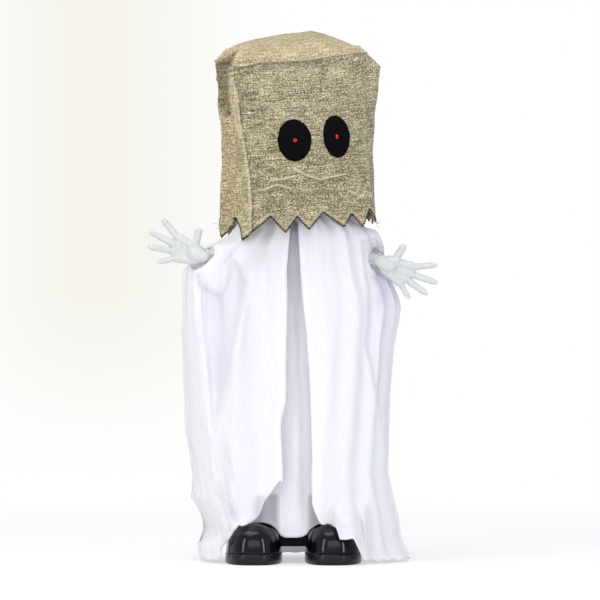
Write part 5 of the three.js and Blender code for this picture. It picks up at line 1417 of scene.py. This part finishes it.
def make_sleeve_cuff(side_name, side):
    """The sleeve's end, gathered on the wrist by its elastic."""
    shoulder, wrist = arm_ends(side)
    along = unit(wrist - shoulder)
    across = unit(np.cross(along, [0, 0, 1]))
    up = np.cross(across, along)
    turn = circle_angles(120)
    rings = []
    for t in np.linspace(0, 1, 26):
        place = -4 - 34 * t
        gather = (1.2 - 0.9 * t) * np.cos(13 * turn + 2 * t) + 0.6 * np.cos(29 * turn)
        r = 11.5 + 8.5 * smooth(t, 0.12, 1) + 2.2 * bump(t, 0.0, 0.10) + gather
        r = r + t * (5 * np.maximum(0, -np.sin(turn)) ** 2 - 6 * np.maximum(0, np.sin(turn)) ** 2)
        rings.append(ring_about(wrist + along * place, r, turn, across, up))
    grid = np.array(rings)
    if np.mean(np.sum(outward(grid, True)[5] * (grid[5] - grid[5].mean(0)), axis=1)) < 0:
        grid = grid[::-1]
    marks = {"shade": np.full(grid.shape[:2], 0.05), "band": np.full(grid.shape[:2], CUFF_BANDS[side])}
    cuff = cloth_piece(side_name + "_cuff_cloth", grid, True, VOILE, VOILE_THICK, marks=marks)
    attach(cuff, "frame")
    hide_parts("sleeve_cuff_" + side_name)
    return cuff


cuffs = [make_sleeve_cuff(side_name, side) for side_name, side in SIDES]

# Hands

HAND_TILTS = {-1: math.radians(162), 1: math.radians(-28)}
# Each finger: where it leaves the palm, its angle in the palm's plane, length, thickness and curl
FINGERS = [
    ((54, 19), 33, 40, 5.7, 8), ((60, 6.5), 9, 43, 5.8, 4), ((56, -6.5), -8, 41, 5.7, 5),
    ((46, -17), -31, 32, 5.0, 10),
]
THUMB = ((20, 15), 86, 31, 6.8, 14)
# Each bar of the palm and the heel: its two ends and its radius at each
PALM_BARS = [
    ((6, 5, 2), (22, 15, 4), 8.0, 8.2), ((14, 7, 3), (34, 13, 2), 7.4, 6.4),
    ((8, -8, 2), (40, -15, 1.5), 7.6, 6.8), ((20, 0, 0), (52, 4, 0), 8.0, 7.0),
    ((1, 0, 4), (18, 0, 5), 12.0, 12.4), ((14, 0, 2), (30, 0, 0.5), 12.0, 8.6),
    ((12, 9, 1), (44, 15, 0.5), 9.0, 7.4), ((12, -9, 1), (42, -16, 0.5), 9.0, 7.6),
]


def round_bar(start, end, r0, r1):
    """A bar with round ends between two points, in the hand's own frame."""
    start, end = np.array(start, float), np.array(end, float)
    length = np.linalg.norm(end - start)
    along = unit(end - start)
    side = unit(np.cross(along, [0.03, 0.02, 1.0]))
    up = np.cross(along, side)
    stops = [(-r0 * math.sin(a), r0 * math.cos(a)) for a in np.linspace(1.45, 0, 6)]
    stops += [(length + r1 * math.sin(a), r1 * math.cos(a)) for a in np.linspace(0, 1.45, 6)]
    rings = [ring_about(start + along * place, r, circle_angles(18), side, up) for place, r in stops]
    return ring_solid("bar", rings)


def finger_bars(base, angle, length, radius, curl):
    """Three bones of one finger, a little thicker at the joints, as bars."""
    a = math.radians(angle)
    point = np.array([base[0], base[1], 0.0])
    bars = []
    shares, radii = (0.42, 0.31, 0.27), (1.04, 0.97, 0.9, 0.74)
    for k, share in enumerate(shares):
        bend = k * math.radians(curl)
        direction = np.array([math.cos(a) * math.cos(bend), math.sin(a) * math.cos(bend), math.sin(bend)])
        trim = radius * 0.7 if k == 2 else 0
        following = point + direction * (length * share - trim)
        bars.append(round_bar(point, following, radius * radii[k], radius * radii[k + 1]))
        if k < 2:
            knuckle = following - direction * 1.5
            bars.append(round_bar(knuckle, knuckle + direction * 3, radius * 0.99, radius * 0.99))
        point = following
    return bars


def hand_bars():
    """The bars that melt into a hand: fingers with their roots, thumb, palm and heel."""
    bars = []
    for base, angle, length, radius, curl in FINGERS:
        bars += finger_bars(base, angle, length, radius, curl)
        bars.append(round_bar((10, base[1] * 0.42, 0), (base[0] - 4, base[1], 0), 8.6, 6.8))
        bars.append(round_bar((base[0] - 6, base[1], 0.6), (base[0] + 2, base[1], 0.4), 6.9, 5.9))
    bars += finger_bars(*THUMB)
    bars += [round_bar(*bar) for bar in PALM_BARS]
    return bars


def hand_matrix(side):
    """Along the fingers, towards the thumb and out of the palm, at the wrist."""
    tilt = HAND_TILTS[side]
    _, wrist = arm_ends(side)
    place = wrist * MM + NECK
    return Matrix((
        (math.cos(tilt) * MM, -side * math.sin(tilt) * MM, 0, place[0]),
        (0, 0, -MM, place[1]),
        (math.sin(tilt) * MM, side * math.cos(tilt) * MM, 0, place[2]),
        (0, 0, 0, 1),
    ))


# Each line of the palm and how deep it is
PALM_CREASES = [
    ([(30, 24), (34, 17), (33, 8), (27, -2), (20, -8)], 1.0),
    ([(48, 20), (43, 10), (41, 0), (38, -12)], 0.8),
    ([(54, 12), (50, 0), (45, -10), (37, -20)], 0.8),
]


def make_hand(side_name, side):
    """A moulded hand: bars melted together, with its lines carved in."""
    hand = joined("hand_rough", hand_bars())
    hand = melted(hand, side_name + "_hand_vinyl", HAND_VINYL, grain=0.85, rounds=5)
    carve_palm(hand.data)
    hand.data.transform(hand_matrix(side))
    with edited(hand.data) as work:
        bmesh.ops.recalc_face_normals(work, faces=work.faces)
    hand.data.shade_smooth()
    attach(hand, "frame")
    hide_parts("hand_" + side_name)


def carve_palm(mesh):
    """Palm lines, finger-joint lines, nails and the hollow of the palm, in the hand's own frame. The lines'
    depth is also kept as a mark that paints shade into them.
    """
    points, normals = np.zeros((2, len(mesh.vertices), 3))
    mesh.vertices.foreach_get("co", points.ravel())
    mesh.vertices.foreach_get("normal", normals.ravel())
    palm = smooth(normals[:, 2], 0.1, 0.6)
    crease_depth_and_shade = np.zeros(len(points))
    for line, weight in PALM_CREASES:
        gap = line_distance(points[:, 0], points[:, 1], line)
        crease_depth_and_shade = np.maximum(crease_depth_and_shade, weight * bump(gap, 0, 1.1) * palm)
    for base, angle, length, radius, _ in [*FINGERS, THUMB]:
        a = math.radians(angle)
        along = np.array([math.cos(a), math.sin(a)])
        offset = points[:, :2] - np.array(base)
        place, wide = offset @ along, np.abs(offset @ np.array([-along[1], along[0]]))
        close = smooth(radius * 1.5 - wide, 0, 1.5)
        for share in (0.04, 0.42, 0.72):
            line = bump(place, length * share, 0.8) * close * smooth(normals[:, 2], -0.3, 0.5)
            crease_depth_and_shade = np.maximum(crease_depth_and_shade, 0.8 * line)
            back = bump(place, length * share, 1.6) * close * smooth(-normals[:, 2], 0.3, 0.8)
            points = points + normals * (0.35 * back)[:, None]
        nail = smooth(radius * 0.62 - wide, -0.5, 0.5) * smooth(place, length * 0.80, length * 0.84)
        nail = nail * smooth(-normals[:, 2], 0.35, 0.6)
        points = points + np.array([0, 0, -0.45]) * nail[:, None]
    hollow = bump(np.hypot((points[:, 0] - 34) / 14, (points[:, 1] + 1) / 10), 0, 1.0) * palm
    points = points - normals * (0.8 * crease_depth_and_shade + 2.4 * hollow)[:, None]
    mesh.vertices.foreach_set("co", points.ravel())
    layer = mesh.attributes.new("crease_depth_and_shade", "FLOAT", "POINT")
    layer.data.foreach_set("value", crease_depth_and_shade.astype(np.float32))


for side_name, side in SIDES:
    make_hand(side_name, side)

# Boots

# Heights are from the floor, and fronts and backs from the neck's axis
SOLE_HEIGHT, SOLE_HALF_WIDTH, SOLE_FRONT, SOLE_BACK = 19, 49, -128, 50
TOE_HALF_WIDTH, TOE_FRONT, TOE_BACK, TOE_TOP = 48, -124, 33, 69
SHAFT_TOP, SHAFT_MIDDLE = 113, 4
SHAFT_WIDTHS = [[19, 44], [60, 44], [113, 41]]
SHAFT_DEPTHS = [[19, 43], [113, 38]]
SHAFT_WALL = 3.2
BAR_SLOT_HALF, BAR_SLOT_LOW, BAR_SLOT_HIGH = 10.4, 24.6, 45.4  # the slot that the crossbar runs through
# How far the sole's edge is drawn in at each height
SOLE_EDGE = [(0.0, 3.5), (0.4, 2.2), (1.6, 0.8), (3.4, 0.2), (15.0, 0.4), (17.0, 0.8), (18.2, 1.8),
             (18.8, 3.4), (19.0, 5.0)]


def superellipse(half_width, half_depth, middle_y, z, exponent=2.5, count=96):
    turn = circle_angles(count, 0.5)
    c, s = np.cos(turn), np.sin(turn)
    x = half_width * np.sign(c) * np.abs(c) ** (2 / exponent)
    y = middle_y + half_depth * np.sign(s) * np.abs(s) ** (2 / exponent)
    return np.stack([x, y, np.full_like(turn, z)], axis=1)


def toe_form():
    middle, half = (TOE_BACK + TOE_FRONT) / 2, (TOE_BACK - TOE_FRONT) / 2
    rings = []
    for share in [0, *np.linspace(0.1, 0.9, 14), 0.94, 0.97, 0.985, 0.995]:
        wide = (1 - 0.10 * share) * (1 - share**2.8) ** (1 / 2.8)
        deep = (1 - 0.04 * share) * (1 - share**3.6) ** (1 / 3.6)
        z = SOLE_HEIGHT + share * (TOE_TOP - SOLE_HEIGHT)
        rings.append(superellipse(TOE_HALF_WIDTH * wide, half * deep, middle, z))
    return ring_solid("toe", rings)


def shaft_form(inset, base, top, crumple, lip):
    """The shaft with its crumples and the lip round its top, or the hollow inside it without them."""
    stops = [(z, crumple * math.sin(z / 6.0)) for z in (base, *np.linspace(base + 5, SHAFT_TOP - 9, 10))]
    stops += [(SHAFT_TOP - 7, lip * 0.4), (SHAFT_TOP - 6, lip), (SHAFT_TOP - 1.2, lip), (top, lip * 0.45)]
    rings = [superellipse(straight(SHAFT_WIDTHS, z) - inset + out, straight(SHAFT_DEPTHS, z) - inset + out,
                          SHAFT_MIDDLE, z) for z, out in stops]
    return ring_solid("shaft", rings)


def cut_from(obj, cutter):
    cut = obj.modifiers.new("cut", "BOOLEAN")
    cut.operation, cut.solver, cut.object = "DIFFERENCE", "EXACT", cutter


def boot_place(side):
    """From a boot's own frame, in millimetres, to its place in the scene."""
    return Matrix.Translation(Vector(NECK) + Vector((side * STANCE * MM, 0, 0))) @ Matrix.Scale(MM, 4)


def make_boot(side_name, side):
    """A boot: toe cap and shaft in one moulding, hollow from above, with a slot for the crossbar."""
    shaft = shaft_form(inset=0.0, base=SOLE_HEIGHT, top=SHAFT_TOP, crumple=0.9, lip=2.4)
    boot = joined("boot_rough", [toe_form(), shaft])
    boot = melted(boot, "boot_melted", BOOT_VINYL, grain=1.3, rounds=6)
    hollow = shaft_form(inset=SHAFT_WALL, base=SOLE_HEIGHT + 3, top=SHAFT_TOP + 6, crumple=0.0, lip=0.0)
    slot_inner, slot_outer = 20, STANCE - 10
    slot_middle = np.array([-side * (slot_inner + slot_outer) / 2, 0, 0])
    slot_rings = [superellipse((slot_outer - slot_inner) / 2, BAR_SLOT_HALF, 0, z, exponent=60, count=24)
                  for z in (BAR_SLOT_LOW, BAR_SLOT_HIGH)]
    slot = ring_solid("slot", [ring + slot_middle for ring in slot_rings])
    for cutter in (hollow, slot):
        cut_from(boot, cutter)
    boot = settled(boot, side_name + "_boot_vinyl", BOOT_VINYL)
    for cutter in (hollow, slot):
        bpy.data.objects.remove(cutter)
    boot.data.transform(boot_place(side))
    boot.data.shade_smooth()
    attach(boot, "frame")
    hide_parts("boot_" + side_name)


def make_sole(side_name, side):
    middle, half = (SOLE_FRONT + SOLE_BACK) / 2, (SOLE_BACK - SOLE_FRONT) / 2
    rings = [superellipse(SOLE_HALF_WIDTH - inset, half - inset, middle, z, exponent=2.6, count=160)
             for z, inset in SOLE_EDGE]
    sole = ring_solid(side_name + "_sole_moulding", rings)
    sole.data.transform(boot_place(side))
    sole.data.materials.append(SOLE_VINYL)
    sole.data.shade_smooth()
    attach(sole, "frame")
    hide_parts("sole_" + side_name)


for make in (make_boot, make_sole):
    for side_name, side in SIDES:
        make(side_name, side)

# Floor, world and light


def studio_floor_finish():
    """White paper: it takes the shadow under the figure, and farther off it is lifted to full white."""
    finish = Finish("studio_paper", Roughness=0.9)
    across, deep, _ = finish.parts(finish.object_place())
    away = (across * across + deep * deep).math("SQRT")
    finish.give("Base Color", (0.93, 0.93, 0.93, 1))
    glow = finish.add("Emission", {"Color": (1, 1, 1, 1)})
    lifted = seen_directly(finish.tree) * (away.between(0.6, 2.0) * 0.5 + 0.5)
    finish.show(finish.blend_shaders(lifted, finish.shader.outputs[0], glow))
    return finish.material


def seen_directly(tree):
    """1 for what the camera sees, also in a mirror or through glass."""
    rays = tree.nodes.new("ShaderNodeLightPath").outputs
    seen = Value(rays["Is Camera Ray"]) + rays["Is Glossy Ray"] + rays["Is Transmission Ray"]
    return seen.math("MINIMUM", 1.0)


def make_stage():
    reach = 3.0
    floor_mesh = bpy.data.meshes.new("studio_floor")
    corners = [(-reach, -reach, 0), (reach, -reach, 0), (reach, reach, 0), (-reach, reach, 0)]
    floor_mesh.from_pydata(corners, [], [(0, 1, 2, 3)])
    floor_mesh.materials.append(studio_floor_finish())
    add_object("studio_floor", floor_mesh)


def light_world():
    """An even sky. Behind the figure the camera and reflections see white, warm high on the left."""
    world = bpy.data.worlds.new("studio_air")
    bpy.context.scene.world = world
    world.use_nodes = True
    tree = world.node_tree
    sky = tree.nodes["Background"]
    sky.inputs["Color"].default_value = (0.95, 0.945, 1.0, 1)
    sky.inputs["Strength"].default_value = 0.65
    ray = add_node(tree, "ShaderNodeTexCoord").outputs["Generated"]
    parts = add_node(tree, "ShaderNodeSeparateXYZ", {0: ray}).outputs
    across, deep, up = (Value(outlet) for outlet in parts)
    warm = (0 - across).between(0.0, 0.052) * (across + 0.103).between(0.0, 0.046) * up.between(-0.05, 0.006)
    warm = warm * deep.between(0.0, 0.5) * 0.9
    colors = {0: warm, 6: (1, 1, 1, 1), 7: (0.90, 0.885, 0.82, 1)}
    tint = add_node(tree, "ShaderNodeMix", colors, data_type="RGBA").outputs[2]
    paper = add_node(tree, "ShaderNodeBackground", {"Color": tint}).outputs[0]
    camera_only = Value(tree.nodes.new("ShaderNodeLightPath").outputs["Is Camera Ray"])
    shown = (seen_directly(tree) * deep.between(0.0, 0.4) + camera_only).math("MINIMUM", 1.0)
    blend = add_node(tree, "ShaderNodeMixShader", {0: shown, 1: sky.outputs[0], 2: paper})
    plug(tree, tree.nodes["World Output"].inputs["Surface"], blend.outputs[0])


def soft_box(name, place, target, size, power, color):
    light = bpy.data.lights.new(name, "AREA")
    light.shape = "RECTANGLE"
    light.size, light.size_y = size
    light.energy, light.color = power, color
    lamp = add_object(name, light)
    lamp.location = place
    lamp.rotation_euler = (Vector(target) - Vector(place)).to_track_quat("-Z", "Y").to_euler()


# Each lamp: its place, what it points at, its size, its power and its color
LAMPS = {
    "left_box": ((-2.3, -2.5, 1.1), (0, 0, 0.5), (0.36, 2.1), 28, (1.0, 0.985, 0.95)),
    "right_box": ((2.3, -2.5, 1.1), (0, 0, 0.5), (0.36, 2.1), 28, (0.93, 0.96, 1.0)),
    "top_box": ((-0.5, -0.5, 2.8), (0, 0, 0.5), (2.0, 2.0), 38, (1.0, 1.0, 1.0)),
    "front_box": ((0.2, -4.6, 1.5), (0, 0, 0.3), (3.4, 1.6), 34, (0.985, 0.98, 1.0)),
}

make_stage()
light_world()
for name, lamp in LAMPS.items():
    soft_box(name, *lamp)
bpy.context.scene.view_settings.view_transform = "Standard"

bpy.context.view_layer.update()
